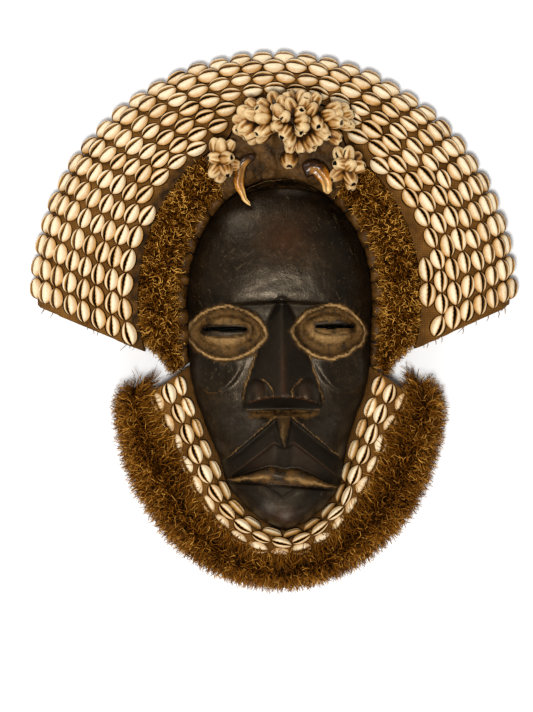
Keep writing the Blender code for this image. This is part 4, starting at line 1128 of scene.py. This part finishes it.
def build_crest():
    """The stuffed fan: a smooth quilted front that dips between the rows, a rim and a flat back."""
    radius, height, shift = crest_profile()
    share = np.linspace(0, 1, CREST_COLUMNS + 1)
    columns = []
    worn = []
    fine = np.linspace(-1.6, len(radius) - 1, 400)
    inner = np.clip(fine, 0, None)
    edge = np.arange(len(radius))
    fine_radius = np.interp(inner, edge, radius) + np.minimum(fine, 0) * CREST_ROW_WIDTH
    fine_height = np.interp(inner, edge, height)
    fine_shift = np.interp(inner, edge, shift)
    start = wing_end(fine_radius)
    for along in share:
        line = crest_point(fine_radius, fine_height, fine_shift, start + (math.pi - 2 * start) * along)
        clear = clears_opening(line, SEWN_GAP)
        first = len(clear) - 1 - np.argmin(clear[::-1]) if not clear.all() else 0
        pick = np.linspace(first + 1 if not clear.all() else 0, len(fine) - 1, CREST_STEPS)
        steps = np.arange(len(fine))
        line = np.stack([np.interp(pick, steps, line[:, axis]) for axis in range(3)], axis=-1)
        row = np.interp(pick, steps, fine)
        line[:, 2] -= 0.0005 * np.abs(np.cos(math.pi * row)) ** 6
        line[:, 2] += 0.0005 * rough(line, 0.02)
        if along in (0, 1):
            line[:, 1] += 0.0009 * rough(line, 0.006) + 0.0007 * rough(line, 0.0025)
        distance = np.linalg.norm(line - line[0], axis=1)
        worn.append(np.concatenate([ramp(0.011 - distance, 0, 0.006), [0, 0]]))
        low_outer = line[-1] * [1, 1, 0]
        low_inner = line[0] * [1, 1, 0]
        columns.append(np.concatenate([line, [low_outer, low_inner]]))
    left_side = ramp(np.repeat(share, CREST_STEPS + 2), 0.55, 0.7)
    attributes = {"worn": np.concatenate(worn) * (0.35 + 0.65 * left_side)}
    crest = swept_piece("crest_cloth", np.array(columns), CLOTH, attributes)
    crest.data.set_sharp_from_angle(angle=math.radians(50))
    return crest


# Loose threads: how many on each hem, the points along one, its corners and its half width
HEM_THREADS = 11
THREAD_POINTS = 6
THREAD_SIDES = 4
THREAD_WIDTH = 0.00042


def build_hem_threads():
    """Loose threads that hang from the two lower hems of the crest."""
    radius, height, shift = crest_profile()
    turn = 2 * math.pi * np.arange(THREAD_SIDES) / THREAD_SIDES
    share = np.linspace(0, 1, THREAD_POINTS)[:, None]
    points = []
    faces = []
    for number in range(2 * HEM_THREADS):
        row = chance.uniform(0.3, 7.6)
        at = np.interp(row, np.arange(len(radius)), radius)
        angle = float(wing_end(at))
        angle = angle if number % 2 else math.pi - angle
        start = crest_point(at, np.interp(row, np.arange(len(radius)), height) * 0.7, shift[0], angle)
        way = np.array([chance.normal() * 0.35, -1.0, -0.2]) * chance.uniform(0.0025, 0.0075)
        line = start + [0, 0.001, 0] + share * way
        line[:, 0] += 0.0008 * np.sin(share[:, 0] * chance.uniform(2, 6))
        line[:, 2] = np.maximum(line[:, 2], 0.001)
        ring = np.stack([np.cos(turn), 0 * turn, np.sin(turn)], axis=-1) * THREAD_WIDTH
        spots = (line[:, None] + ring[None] * (1 - 0.5 * share[:, :, None])).reshape(-1, 3)
        made = outward(spots, loft_faces(THREAD_POINTS, THREAD_SIDES))
        faces.append(np.where(made < 0, -1, made + len(points) * THREAD_POINTS * THREAD_SIDES))
        points.append(spots)
    threads = make_piece("hem_threads", np.concatenate(points), np.concatenate(faces), CLOTH)
    take(threads, "cloth")


def crest_row_places(row, node):
    """Where the shells of one node's row lie: from the row's rule, between the ends of the node."""
    radius, height, shift = crest_profile()
    middle = (radius[row] + radius[row + 1]) / 2
    middle_height = (height[row] + height[row + 1]) / 2
    row_shift = (shift[row] + shift[row + 1]) / 2
    slope = math.radians(CREST_ROW_SLOPES[row])
    lie = slope * (0.58 if slope > 0.5 else 1.0)
    start = float(wing_end(radius[row])) + 0.35 * SHELL_PITCH / middle
    steps = np.linspace(start, math.pi - start, 241)
    inner_edge = crest_point(radius[row], 0.0, row_shift, steps)
    clear = clears_opening(inner_edge, SEWN_GAP)
    if not clear.all():
        side = steps < math.pi / 2 if node.endswith("right") else steps > math.pi / 2
        steps = steps[clear & side]
    count = max(1, int((steps[-1] - steps[0]) * middle / SHELL_PITCH))
    pitch = (steps[-1] - steps[0]) / count
    places = []
    for i in range(count):
        angle = steps[0] + pitch * (i + 0.5)
        outward_way = np.array([math.cos(angle), math.sin(angle), 0.0])
        along = np.array([-math.sin(angle), math.cos(angle), 0.0])
        across = outward_way * math.cos(lie) - np.array([0, 0, math.sin(lie)])
        out = outward_way * math.sin(lie) + np.array([0, 0, math.cos(lie)])
        centre = crest_point(middle, middle_height, row_shift, angle)
        lift = SHELL_GAP + 0.0022 * math.sin(slope - lie) / 0.35
        centre = centre + out * lift + across * chance.normal() * 0.0004
        places.append((centre, along, across, out, pitch * middle * 0.985, chance.uniform(0.94, 1.04)))
    return places


# Swept pieces about the face's centre
def spaced(start, end, count):
    """Even angles in radians between two angles in degrees."""
    return np.radians(np.linspace(start, end, count + 1))


def smooth_section(corners, steps):
    """A closed section drawn through its upper corners as a smooth line, with its flat base kept."""
    corners = np.asarray(corners)
    travelled = path_lengths(corners)
    at = np.linspace(0, travelled[-1], steps)
    radius = smooth_through(list(zip(travelled, corners[:, 0])))
    height = smooth_through(list(zip(travelled, corners[:, 1])))
    return np.stack([radius(at), np.maximum(height(at), 0)], axis=-1)


def swept_points(angles, section, steps):
    """Rings of points for a piece swept about the face's centre."""
    rings = []
    for place, angle in enumerate(angles):
        line = smooth_section(section(angle, place / (len(angles) - 1)), steps)
        x = FACE_X + line[:, 0] * math.cos(angle)
        y = FACE_Y + line[:, 0] * math.sin(angle)
        rings.append(np.stack([x, y, line[:, 1]], axis=-1))
    return np.array(rings)


def rounded(share, reach, least=0.45):
    """1 along a piece and falling smoothly at its two ends, over the given share of its length."""
    end = min(share, 1 - share) / reach
    return 1.0 if end >= 1 else least + (1 - least) * math.sqrt(1 - (1 - end) ** 2)


def right_side_degrees(angle):
    """The angle in degrees, or that of its mirror image where it lies on the left."""
    return math.degrees(angle if math.cos(angle) > 0 else math.pi - angle)


def hair_section(angle, share, inset):
    """The hair's cross-section at an angle, kept inside its solid by the inset."""
    turn = right_side_degrees(angle)
    tip = float(ramp(turn, HAIR_TIP, HAIR_TAPER))
    inner = float(face_radius(angle)) + SEWN_GAP + BINDING_WIDTH + SEWN_GAP
    outer = float(hair_radius(angle)) * tip + (inner + HAIR_TIP_WIDTH) * (1 - tip) - 0.5 * inset * tip
    width = outer - inner
    height = HAIR_HEIGHT * (0.6 + 0.4 * tip) - inset
    return [
        (inner, 0.0),
        (inner, 0.62 * height),
        (inner + 0.22 * width, 0.93 * height),
        (inner + 0.55 * width, height),
        (inner + 0.86 * width, 0.86 * height),
        (outer, 0.55 * height),
        (outer, 0.0),
    ]


def beard_section(angle, share, inset):
    """The beard's cross-section, lower over the collar and rounded at its two ends."""
    inner = float(collar_radius(angle)) + SEWN_GAP + inset * 0.3
    width = float(beard_radius(angle)) - inner - inset
    height = BEARD_HEIGHT * rounded(share, 0.06) - inset
    width = width * (0.6 + 0.4 * rounded(share, 0.05))
    return [
        (inner, 0.0),
        (inner, 0.36 * height),
        (inner + BEARD_CLEARING, 0.66 * height),
        (inner + BEARD_CLEARING + 0.12 * width, 0.93 * height),
        (inner + 0.5 * width, height),
        (inner + 0.8 * width, 0.8 * height),
        (inner + width, 0.42 * height),
        (inner + 0.97 * width, 0.0),
    ]


STRAND_POINTS = 5
STRAND_SIDES = 3

# Strands: how many, their length, curl, lean outward, lean inward, width, and the palest one's tone
HAIR_STRANDS = (4400, 0.0080, 0.0020, 0.10, 0.20, 0.00040, 0.97)
BEARD_STRANDS = (5700, 0.0125, 0.0020, 0.35, 1.45, 0.00042, 0.72)
HAIR_INSET = 0.0030
BEARD_INSET = 0.006


def strands(name, rings, count, length, curl, comb, tuck, width, pale):
    """Curled strands rooted all over the upper side of a swept core.

    comb leans the strands outward from the face, and tuck leans those of the inner edge inward
    over what lies beside it. Length, curl and width are in metres, and pale is the palest strand's tone."""
    across_way = np.gradient(rings, axis=1)
    along_way = np.gradient(rings, axis=0)
    normal = np.cross(along_way, across_way)
    area = np.linalg.norm(normal, axis=-1)
    normal = normal / np.maximum(area, 1e-12)[..., None]
    middle = rings.mean(axis=1, keepdims=True)
    facing = ((rings - middle) * normal).sum(axis=-1).mean()
    normal = normal * (1 if facing > 0 else -1)
    place = np.arange(rings.shape[1]) / rings.shape[1]
    weight = area * (rings[..., 2] > 0.0035) * (place > 0.22)
    pick = chance.choice(weight.size, size=count, p=weight.ravel() / weight.sum())
    ring, column = np.unravel_index(pick, weight.shape)
    ring_next = np.clip(ring + 1, 0, rings.shape[0] - 1)
    column_next = np.clip(column + 1, 0, rings.shape[1] - 1)
    blend_ring = chance.random((count, 1))
    blend_column = chance.random((count, 1))
    root = rings[ring, column] * (1 - blend_ring) + rings[ring_next, column] * blend_ring
    root = root + (rings[ring, column_next] - rings[ring, column]) * blend_column
    out = normal[ring, column]
    away = root - [FACE_X, FACE_Y, 0]
    away[:, 2] = 0
    away /= np.linalg.norm(away, axis=1, keepdims=True)
    inner = ramp(0.52 - place[column], 0, 0.14)[:, None]
    comb = comb * (1 - inner) - tuck * inner
    way = out * 0.75 + away * comb + chance.normal(size=(count, 3)) * 0.62
    way /= np.linalg.norm(way, axis=1, keepdims=True)
    first = np.cross(way, chance.normal(size=(count, 3)))
    first /= np.linalg.norm(first, axis=1, keepdims=True)
    second = np.cross(way, first)
    reach = length * chance.uniform(0.55, 1.15, (count, 1)) * (1 + 0.45 * min(tuck, 1.0) * inner)
    time = np.linspace(0, 1, STRAND_POINTS)[None, :]
    turns = chance.uniform(0.5, 1.5, (count, 1)) * np.sign(chance.normal(size=(count, 1)))
    phase = chance.uniform(0, 2 * math.pi, (count, 1)) + 2 * math.pi * turns * time
    swing = curl * chance.uniform(0.4, 1.3, (count, 1)) * time**0.7
    line = root[:, None] - out[:, None] * 0.0012 + way[:, None] * (reach * time)[..., None]
    line = line + first[:, None] * (swing * np.cos(phase))[..., None]
    line = line + second[:, None] * (swing * np.sin(phase))[..., None]
    line[..., 2] = np.maximum(line[..., 2], 0.0008)
    thick = width * chance.uniform(0.6, 1.3, (count, 1)) * (1 - 0.55 * time**2)
    turn = 2 * math.pi * np.arange(STRAND_SIDES) / STRAND_SIDES
    ring_shape = first[:, None, :] * np.cos(turn)[None, :, None]
    ring_shape = ring_shape + second[:, None, :] * np.sin(turn)[None, :, None]
    points = line[:, :, None, :] + ring_shape[:, None] * thick[:, :, None, None]
    size = STRAND_POINTS * STRAND_SIDES
    local = loft_faces(STRAND_POINTS, STRAND_SIDES)
    offset = (np.arange(count) * size)[:, None, None]
    faces = np.where(local[None] < 0, -1, local[None] + offset).reshape(-1, 4)
    tone = np.repeat(pale * chance.beta(0.9, 1.15, count), size)
    tip = np.tile(np.repeat(np.linspace(0, 1, STRAND_POINTS), STRAND_SIDES), count)
    flat = points.reshape(-1, 3)
    return make_piece(name, flat, outward(flat, faces), FIBRE, {"strand": tone, "tip": tip})


LUMP_LENGTHS = (1.0, 1.35, 0.85, 1.15, 0.7, 1.25, 0.95, 1.1, 0.8)


def binding_rings(side):
    """The hide roll: uneven lumps of leather, drawn in where each is tied down."""
    order = LUMP_LENGTHS if side == "right" else LUMP_LENGTHS[::-1]
    ties = np.concatenate([[0], np.cumsum(order)]) / sum(order)
    angles = spaced(HIDE_ROLL_FROM, BINDING_TO, 130)
    plumpness = chance.uniform(0.75, 1.15, len(order))
    hollow_shade = []

    def section(angle, share):
        lump = min(int(np.searchsorted(ties, share, side="right")) - 1, len(order) - 1)
        within = (share - ties[lump]) / (ties[lump + 1] - ties[lump])
        swell = math.sin(math.pi * min(max(within, 0.02), 0.98)) ** 0.45
        below = float(ramp(right_side_degrees(angle), -32.0, -20.0))
        height = BINDING_HEIGHT * (0.80 + 0.27 * swell * plumpness[lump]) * (0.8 + 0.2 * below)
        inner = float(face_radius(angle)) + 0.0002
        width = HIDE_ROLL_WIDTH * (0.55 + 0.45 * swell * plumpness[lump]) * (0.7 + 0.3 * below)
        # Painted shade in the pinch between two lumps
        hollow_shade.append(1 - ramp(swell, 0.30, 0.62))
        return [
            (inner, 0.0),
            (inner, height - 0.34 * width),
            (inner + 0.16 * width, height - 0.10 * width),
            (inner + 0.42 * width, height),
            (inner + 0.74 * width, height - 0.10 * width),
            (inner + width, height - 0.45 * width),
            (inner + width, 0.0),
        ]

    turned = angles if side == "right" else np.pi - angles
    rings = swept_points(turned, section, 22)
    rings = rings + 0.0008 * rough(rings, 0.007)[..., None] + 0.0004 * rough(rings + 3, 0.003)[..., None]
    rings[..., 2] = np.maximum(rings[..., 2], 0)
    return rings, np.repeat(hollow_shade, rings.shape[1])


def crown_pad_rings():
    """The pad of leather and resin, with low lumps over its upper side."""
    angles = spaced(BINDING_TO + 0.1, 179.9 - BINDING_TO, 100)

    def section(angle, share):
        inner = float(face_radius(angle)) + 0.0002
        outer = float(opening_radius(angle)) - 0.0004
        width = outer - inner
        return [
            (inner, 0.0),
            (inner, 0.64 * CROWN_PAD_HEIGHT),
            (inner + 0.2 * width, 0.88 * CROWN_PAD_HEIGHT),
            (inner + 0.55 * width, 0.98 * CROWN_PAD_HEIGHT),
            (inner + 0.88 * width, 0.93 * CROWN_PAD_HEIGHT),
            (outer, 0.8 * CROWN_PAD_HEIGHT),
            (outer, 0.0),
        ]

    rings = swept_points(angles, section, 70)
    lumps = 0.0036 * np.abs(rough(rings, 0.010)) + 0.0024 * np.abs(rough(rings + 1, 0.0042))
    raised = ramp(rings[..., 2], 0.004, 0.03)
    rings[..., 2] += (lumps - 0.0030) * raised
    return rings


# Collar
def collar_profile(angle):
    """Radius and height of the edges between the collar's rows."""
    inner = float(face_radius(angle)) + SEWN_GAP
    width = float(collar_radius(angle)) - inner
    heights = (COLLAR_EDGE_HEIGHT, COLLAR_HEIGHT, COLLAR_HEIGHT, COLLAR_OUTER_HEIGHT)
    return [(inner + share * width, height) for share, height in zip(COLLAR_BANDS, heights)]


def build_collar():
    """The cloth roll along the jaw, with worn cloth at its inner edge."""
    angles = spaced(-180 - COLLAR_END, COLLAR_END, 220)

    def section(angle, share):
        inner = float(face_radius(angle)) + 0.0002
        profile = collar_profile(angle)
        return [(inner, 0.0), (inner, COLLAR_WALL_HEIGHT)] + profile + [(profile[-1][0], 0.0)]

    rings = swept_points(angles, section, 40)
    rings = rings + (0.0004 * rough(rings, 0.009))[..., None]
    rings[..., 2] = np.maximum(rings[..., 2], 0)
    worn = np.zeros(rings.shape[:2])
    worn[:, :12] = 0.35
    return swept_piece("collar_cloth", rings, CLOTH, {"worn": worn.ravel()})


# How far each row's shells move towards the face at the chin
CHIN_ROW_SHIFTS = (0.0, 0.0022, 0.0034)


def collar_row_places(row):
    """Where the shells of a collar row lie, each as wide as its band allows."""
    edges = []
    for angle in spaced(-180 - COLLAR_END, COLLAR_END, 400):
        ends = []
        for radius, height in collar_profile(angle)[row : row + 2]:
            ends.append((FACE_X + radius * math.cos(angle), FACE_Y + radius * math.sin(angle), height))
        edges.append(ends)
    edges = np.array(edges)
    middle = edges.mean(axis=1)
    travelled = path_lengths(middle)
    margin = 0.04 * SHELL_PITCH
    length = travelled[-1] - 2 * margin
    count = int(length / SHELL_PITCH)

    def at(values, travel):
        return np.array([np.interp(travel, travelled, values[:, axis]) for axis in range(3)])

    places = []
    for i in range(count):
        travel = margin + length * (i + 0.5) / count
        along = at(middle, travel - 0.002) - at(middle, travel + 0.002)
        along /= np.linalg.norm(along)
        across = at(edges[:, 1], travel) - at(edges[:, 0], travel)
        across = across - along * across.dot(along)
        room = np.linalg.norm(across)
        across /= room
        out = np.cross(across, along)
        out = out * np.sign(out[2])
        centre = at(middle, travel) + out * SHELL_GAP
        turn = math.degrees(math.atan2(centre[1] - FACE_Y, centre[0] - FACE_X))
        at_chin = float(ramp(50 - abs(turn + 90), 0, 28))
        steep = 0.62 * at_chin if row == 0 else 0.0
        flatten = (0.5 * (1 - at_chin), 0.0, 0.8)[row]
        centre = centre - across * [1, 1, 0] * CHIN_ROW_SHIFTS[row] * at_chin
        out = out + np.array([0, 0, flatten]) - across * steep
        out /= np.linalg.norm(out)
        across = np.cross(along, out) * np.sign(np.dot(np.cross(along, out), across))
        widen = min(1.0, (room + 0.0012) / 0.0112)
        places.append((centre, along, across, out, SHELL_PITCH * 0.98, widen * chance.uniform(0.95, 1.05)))
    return places


# Bunches of tied shells
def whole_cowrie(hole, cut):
    """A shell seen from its ends and back, one unit long along +Y: streaked, with a hole at its end."""
    rings = 14
    sides = 20
    place = -np.cos(np.linspace(0.16, math.pi - 0.10, rings))
    radius = 0.385 * (1 - np.abs(place) ** 2.6) ** 0.55 * (1 - 0.10 * place) + 0.02
    turn = 2 * math.pi * np.arange(sides) / sides
    rib = 1 + 0.022 * np.cos(turn * 5 + 0.7)[None, :] * (1 - place[:, None] ** 4)
    slit = bell(turn - math.pi, 0.24)[None, :]
    reach = radius[:, None] * rib * (1 - 0.34 * slit)
    x = reach * np.sin(turn)[None, :]
    z = reach * np.cos(turn)[None, :] * 0.84
    y = np.repeat(place[:, None] / 2, sides, axis=1)
    end = np.zeros((rings, sides))
    end[-1] = hole
    end[-2] = hole * 0.8 * (np.cos(turn - 1.0) > 0.2)
    y[-1] -= 0.20 * hole
    x[-1] *= 1.8
    z[-1] *= 1.8
    points = np.stack([x, y, z], axis=-1).reshape(-1, 3)
    streak = chance.choice([0.0, 0.4, 1.1], sides, p=[0.4, 0.3, 0.3])[None, :]
    streak = streak * ramp(0.97 - place, 0, 0.5)[:, None]
    # Darker towards the base end as painted shade where the shell meets the knot; the streaks are the
    # shell's own
    streak_and_base_shade = 0.10 + streak + 1.9 * ramp(0.30 - place, 0, 1.1)[:, None]
    # Painted shade: the hole at the end and the cut slit are coloured near black
    dark = np.maximum(end, cut * (slit > 0.6) * (np.abs(place[:, None] - 0.2) < 0.5))
    return points, outward(points, loft_faces(rings, sides)), streak_and_base_shade.ravel(), dark.ravel()


CORE_SHARE = np.array([0.64, 0.64, 0.60])
WHOLE_KINDS = [whole_cowrie(hole, cut) for hole, cut in ((1.0, 0.0), (0.0, 0.9), (0.9, 0.0), (0.0, 0.0))]


def radiating(centre, reach, count, length, low):
    """Shells that radiate from a low centre, spread evenly over the upper part of an oval dome."""
    places = []
    golden = math.pi * (3 - math.sqrt(5))
    for i in range(count):
        up = 1 - (1 - low) * (i + 0.5) / count
        flat = math.sqrt(max(0.0, 1 - up * up))
        turn = golden * i + 0.4 + chance.normal() * 0.22
        way = np.array([flat * math.cos(turn), flat * math.sin(turn), max(up, 0.02)])
        spot = np.array(centre) + way * reach
        aim = way * [1, 1, 0.62] + [0, 0, 0.05] + chance.normal(size=3) * 0.12
        aim /= np.linalg.norm(aim)
        across = np.cross(aim, chance.normal(size=3))
        across /= np.linalg.norm(across)
        out = np.cross(across, aim)
        size = length * chance.uniform(0.92, 1.1)
        places.append((spot, aim, across, out, size, chance.uniform(0.72, 0.92)))
    return places


def bunch_core(name, centre, reach):
    """The lumpy knot that a bunch's shells are tied to, darkened all over as painted shade between the
    shells.
    """
    turn = np.linspace(0, 2 * math.pi, 36, endpoint=False)
    around = np.stack([np.cos(turn), np.sin(turn), 0 * turn], axis=-1)
    rises = np.linspace(0, 0.97, 12)
    rings = np.array([around * math.sqrt(1 - rise**2) + [0, 0, rise] for rise in rises])
    rings = np.array(centre) + rings * reach * CORE_SHARE
    rings = rings + 0.0012 * rough(rings, 0.006)[..., None]
    # The knot is darkened all over as painted shade between its shells
    core = swept_piece(name, rings, PAD, {"hollow_shade": np.full(rings[..., 0].size, 0.6)})
    take(core, "pad")


def node_box(node):
    """The low corner, the middle and half the size of a solid's box."""
    low, high = np.array(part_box(node))
    return low, (low + high) / 2, (high - low) / 2


# The side groups, each with its place beside the middle of its solid
SIDE_GROUPS = (("left", (0.0005, 0.0020)), ("right", (0.0000, -0.0030)))
BUNCH_SHELLS = 52
BUNCH_INNER_SHELLS = 7
SIDE_SHELLS = 9


def build_bunches():
    """The pompom of shells above the pad, a group on each side and one shell in front."""
    pieces = []
    low, middle, half = node_box("cowrie_bunch")
    centre = (middle[0], middle[1] - 0.002, low[2] + 0.003)
    reach = np.array([half[0] + 0.001, half[1] - 0.004, 2 * half[2] - 0.010])
    places = radiating(centre, reach, BUNCH_SHELLS, 0.0166, low=0.02)
    inner = radiating(centre, reach * 0.62, BUNCH_INNER_SHELLS, 0.016, low=0.45)
    bunch_core("bunch_knot", centre, reach)
    main = place_shells("tied_cowries", places + inner, TIED_SHELL, WHOLE_KINDS, 0.0)
    pieces.append((main, "cowrie_bunch"))
    for side, shift in SIDE_GROUPS:
        low, middle, half = node_box(f"cowrie_bunch_{side}")
        centre = (middle[0] + shift[0], middle[1] + shift[1], low[2])
        reach = np.array([half[0] - 0.001, half[1] - 0.001, 2 * half[2] - 0.007])
        places = radiating(centre, reach, SIDE_SHELLS, 0.0165, low=0.05)
        bunch_core(f"bunch_knot_{side}", centre, reach)
        group = place_shells(f"tied_cowries_{side}", places, TIED_SHELL, WHOLE_KINDS, 0.0)
        pieces.append((group, f"cowrie_bunch_{side}"))
    low, middle, _ = node_box("crown_shell")
    spot = np.array([middle[0], middle[1], low[2] + 0.0040])
    ways = np.array([(0.1, -0.75, 0.65), (1.0, 0.1, 0.0), (0.0, 0.65, 0.75)])
    front = place_shells("front_cowrie", [(spot, *ways, 0.0175, 1.0)], TIED_SHELL, WHOLE_KINDS[2:3], 0.0)
    pieces.append((front, "crown_shell"))
    return pieces


# Teeth
def tooth(name, route, widths, base, groove):
    """A curved tooth with a groove along its inner side and a cracked, darker root."""
    keys = np.array(route)
    travelled = path_lengths(keys)
    at = np.linspace(0, travelled[-1], 49)
    line = np.stack([smooth_through(list(zip(travelled, keys[:, axis])))(at) for axis in range(2)], axis=-1)
    forward = np.gradient(line, axis=0)
    forward /= np.linalg.norm(forward, axis=1)[:, None]
    share = at / travelled[-1]
    half = smooth_through(widths)(share) / 2
    half = half * np.sqrt(np.clip((1 - share) / 0.06, 0.08, 1))
    half = half * np.sqrt(np.clip(share / 0.05 + 0.35, 0, 1))
    sides = 24
    turn = 2 * math.pi * np.arange(sides) / sides
    dent = bell(turn - groove, 0.30)[None, :] * ramp(share, 0.10, 0.35)[:, None]
    reach = half[:, None] * (1 - 0.34 * dent)
    aside = reach * np.cos(turn)[None, :]
    up = reach * np.sin(turn)[None, :] * TOOTH_FLATNESS
    x = FACE_X + line[:, :1] - forward[:, 1:] * aside
    y = FACE_Y + line[:, 1:] + forward[:, :1] * aside
    z = base + half.max() * TOOTH_FLATNESS + up
    points = np.stack([x, y, z], axis=-1)
    points = points + (0.00030 * rough(points, 0.004))[..., None]
    along = np.repeat(share, sides)
    inner = np.tile(np.cos(turn - groove), len(at))
    # Painted shade along the groove
    attributes = {"along": along, "hollow_shade": 0.85 * dent.ravel() ** 2, "inner": np.clip(inner, 0, 1)}
    return swept_piece(name, points, TOOTH, attributes)


# Teeth: the route of each over the pad, and its width at shares of its length
TOOTH_LEFT = ((-0.0200, 0.1145), (-0.0300, 0.1065), (-0.0325, 0.0930), (-0.0285, 0.0820), (-0.0232, 0.0745))
TOOTH_RIGHT = ((0.0190, 0.1020), (0.0265, 0.1045), (0.0335, 0.1000), (0.0375, 0.0920), (0.0385, 0.0840))
TOOTH_LEFT_WIDTHS = ((0, 0.0050), (0.2, 0.0085), (0.4, 0.0092), (0.65, 0.0068), (0.85, 0.0042), (1, 0.0014))
TOOTH_RIGHT_WIDTHS = ((0, 0.0118), (0.3, 0.0130), (0.6, 0.0110), (0.85, 0.0078), (1, 0.0060))

# Each tooth with its route, its widths and the turn of its groove
TEETH = (("left", TOOTH_LEFT, TOOTH_LEFT_WIDTHS, 1.15), ("right", TOOTH_RIGHT, TOOTH_RIGHT_WIDTHS, 2.0))
TOOTH_FLATNESS = 0.85


def take(piece, slot, *nodes):
    """Sets what a piece rides on and which solids it stands for. The slot is not used."""
    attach(piece, "root")
    if nodes:
        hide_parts(*nodes)


def build_mask():
    """Every piece of the mask, each with the solids that it stands for."""
    take(build_face(), "wood", "face")
    crest = build_crest()
    take(crest, "cloth", "crest")
    for node in sorted(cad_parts):
        if node.startswith("crest_row_"):
            row = int(node.split("_")[2]) - 1
            take(place_shells("cowries_" + node, crest_row_places(row, node), SHELL), "shell", node)
    collar = build_collar()
    take(collar, "cloth", "collar")
    for row in range(3):
        places = collar_row_places(row)
        take(place_shells(f"cowries_collar_{row + 1}", places, SHELL), "shell", f"collar_row_{row + 1}")
    hair_angles = spaced(HAIR_TIP, HAIR_TOP, 70)
    for side in ("right", "left"):
        angles = hair_angles if side == "right" else np.pi - hair_angles
        rings = swept_points(angles, lambda angle, share: hair_section(angle, share, HAIR_INSET), 40)
        rings[..., 2] += 0.0012 * rough(rings, 0.012) * ramp(rings[..., 2], 0, 0.02)
        take(swept_piece(f"hair_core_{side}", rings, CORE), "fibre", f"hair_{side}")
        take(strands(f"hair_strands_{side}", rings, *HAIR_STRANDS), "fibre")
        rings, hollow_shade = binding_rings(side)
        take(swept_piece(f"hide_roll_{side}", rings, HIDE, {"hollow_shade": hollow_shade}), "hide", f"binding_{side}")
    pad = swept_piece("crown_pad_leather", crown_pad_rings(), PAD)
    take(pad, "pad", "crown_pad")
    angles = spaced(-180 - BEARD_END, BEARD_END, 120)
    rings = swept_points(angles, lambda angle, share: beard_section(angle, share, BEARD_INSET), 44)
    rings[..., 2] += 0.0016 * rough(rings, 0.016) * ramp(rings[..., 2], 0, 0.02)
    take(swept_piece("beard_core", rings, CORE), "fibre", "beard")
    half = len(rings) // 2
    for side, part in (("left", rings[: half + 1]), ("right", rings[half:])):
        take(strands(f"beard_strands_{side}", part, *BEARD_STRANDS), "fibre")
    for piece, node in build_bunches():
        take(piece, "shell" if node == "crown_shell" else "tied_shell", node)
    on_pad = CROWN_PAD_HEIGHT + SHELL_GAP
    for side, route, widths, groove in TEETH:
        take(tooth(f"amber_tooth_{side}", route, widths, on_pad, groove), "tooth", f"tooth_{side}")
    build_hem_threads()


# Floor, light and camera
def build_stage():
    """The pale floor that the mask lies on."""
    floor_look = Look("pale_floor", 0.9)
    floor_look.shader.inputs["Base Color"].default_value = (0.93, 0.93, 0.93, 1)
    corners = np.array([(-3, -3, 0), (3, -3, 0), (3, 3, 0), (-3, 3, 0)], float) - [0, 0, 0.0004]
    floor = make_piece("floor", corners, [(0, 1, 2, 3)], floor_look.material, smooth=False)


# Lights: name, place, what it points at, size and power
LIGHTS = (
    ("front", (-0.15, -0.46, 2.6), (0, 0, 0), 0.52, 48),
    ("above_crown", (-0.75, 1.35, 0.8), (0, 0.05, 0.05), 0.7, 6.5),
    ("below_chin", (-0.1, -1.3, 0.9), (0, -0.05, 0), 0.5, 3.5),
)
WORLD_LIGHT = 0.34


def area_light(name, place, target, size, power):
    lamp = bpy.data.lights.new(name, "AREA")
    lamp.shape = "DISK"
    lamp.size = size
    lamp.energy = power
    lamp_object = bpy.data.objects.new(name, lamp)
    lamp_object.location = place
    way = Vector(target) - Vector(place)
    lamp_object.rotation_euler = way.to_track_quat("-Z", "Y").to_euler()
    bpy.context.scene.collection.objects.link(lamp_object)


def build_light():
    """Soft studio light from the front, with a little from the crown and the chin."""
    world = bpy.data.worlds.new("studio")
    world.use_nodes = True
    background = world.node_tree.nodes["Background"]
    background.inputs["Color"].default_value = (1, 1, 1, 1)
    background.inputs["Strength"].default_value = WORLD_LIGHT
    bpy.context.scene.view_settings.view_transform = "Standard"
    bpy.context.scene.view_settings.look = "Medium High Contrast"
    bpy.context.scene.world = world
    for light in LIGHTS:
        area_light(*light)


def build_camera():
    """The camera over the mask, with the photograph's frame and scale."""
    camera = bpy.data.cameras.new("camera")
    camera.sensor_fit = "AUTO"
    camera.sensor_width = SENSOR
    camera.lens = SENSOR * CAMERA_DISTANCE / (PHOTO_SIZE[1] * METRES_PER_PIXEL)
    camera_object = bpy.data.objects.new("camera", camera)
    x = FACE_X + (PHOTO_SIZE[0] / 2 - PHOTO_FACE[0]) * METRES_PER_PIXEL
    y = FACE_Y - (PHOTO_SIZE[1] / 2 - PHOTO_FACE[1]) * METRES_PER_PIXEL
    camera_object.location = (x, y, SCALE_PLANE + CAMERA_DISTANCE)
    bpy.context.scene.collection.objects.link(camera_object)
    bpy.context.scene.camera = camera_object


build_camera()
build_mask()
build_stage()
build_light()
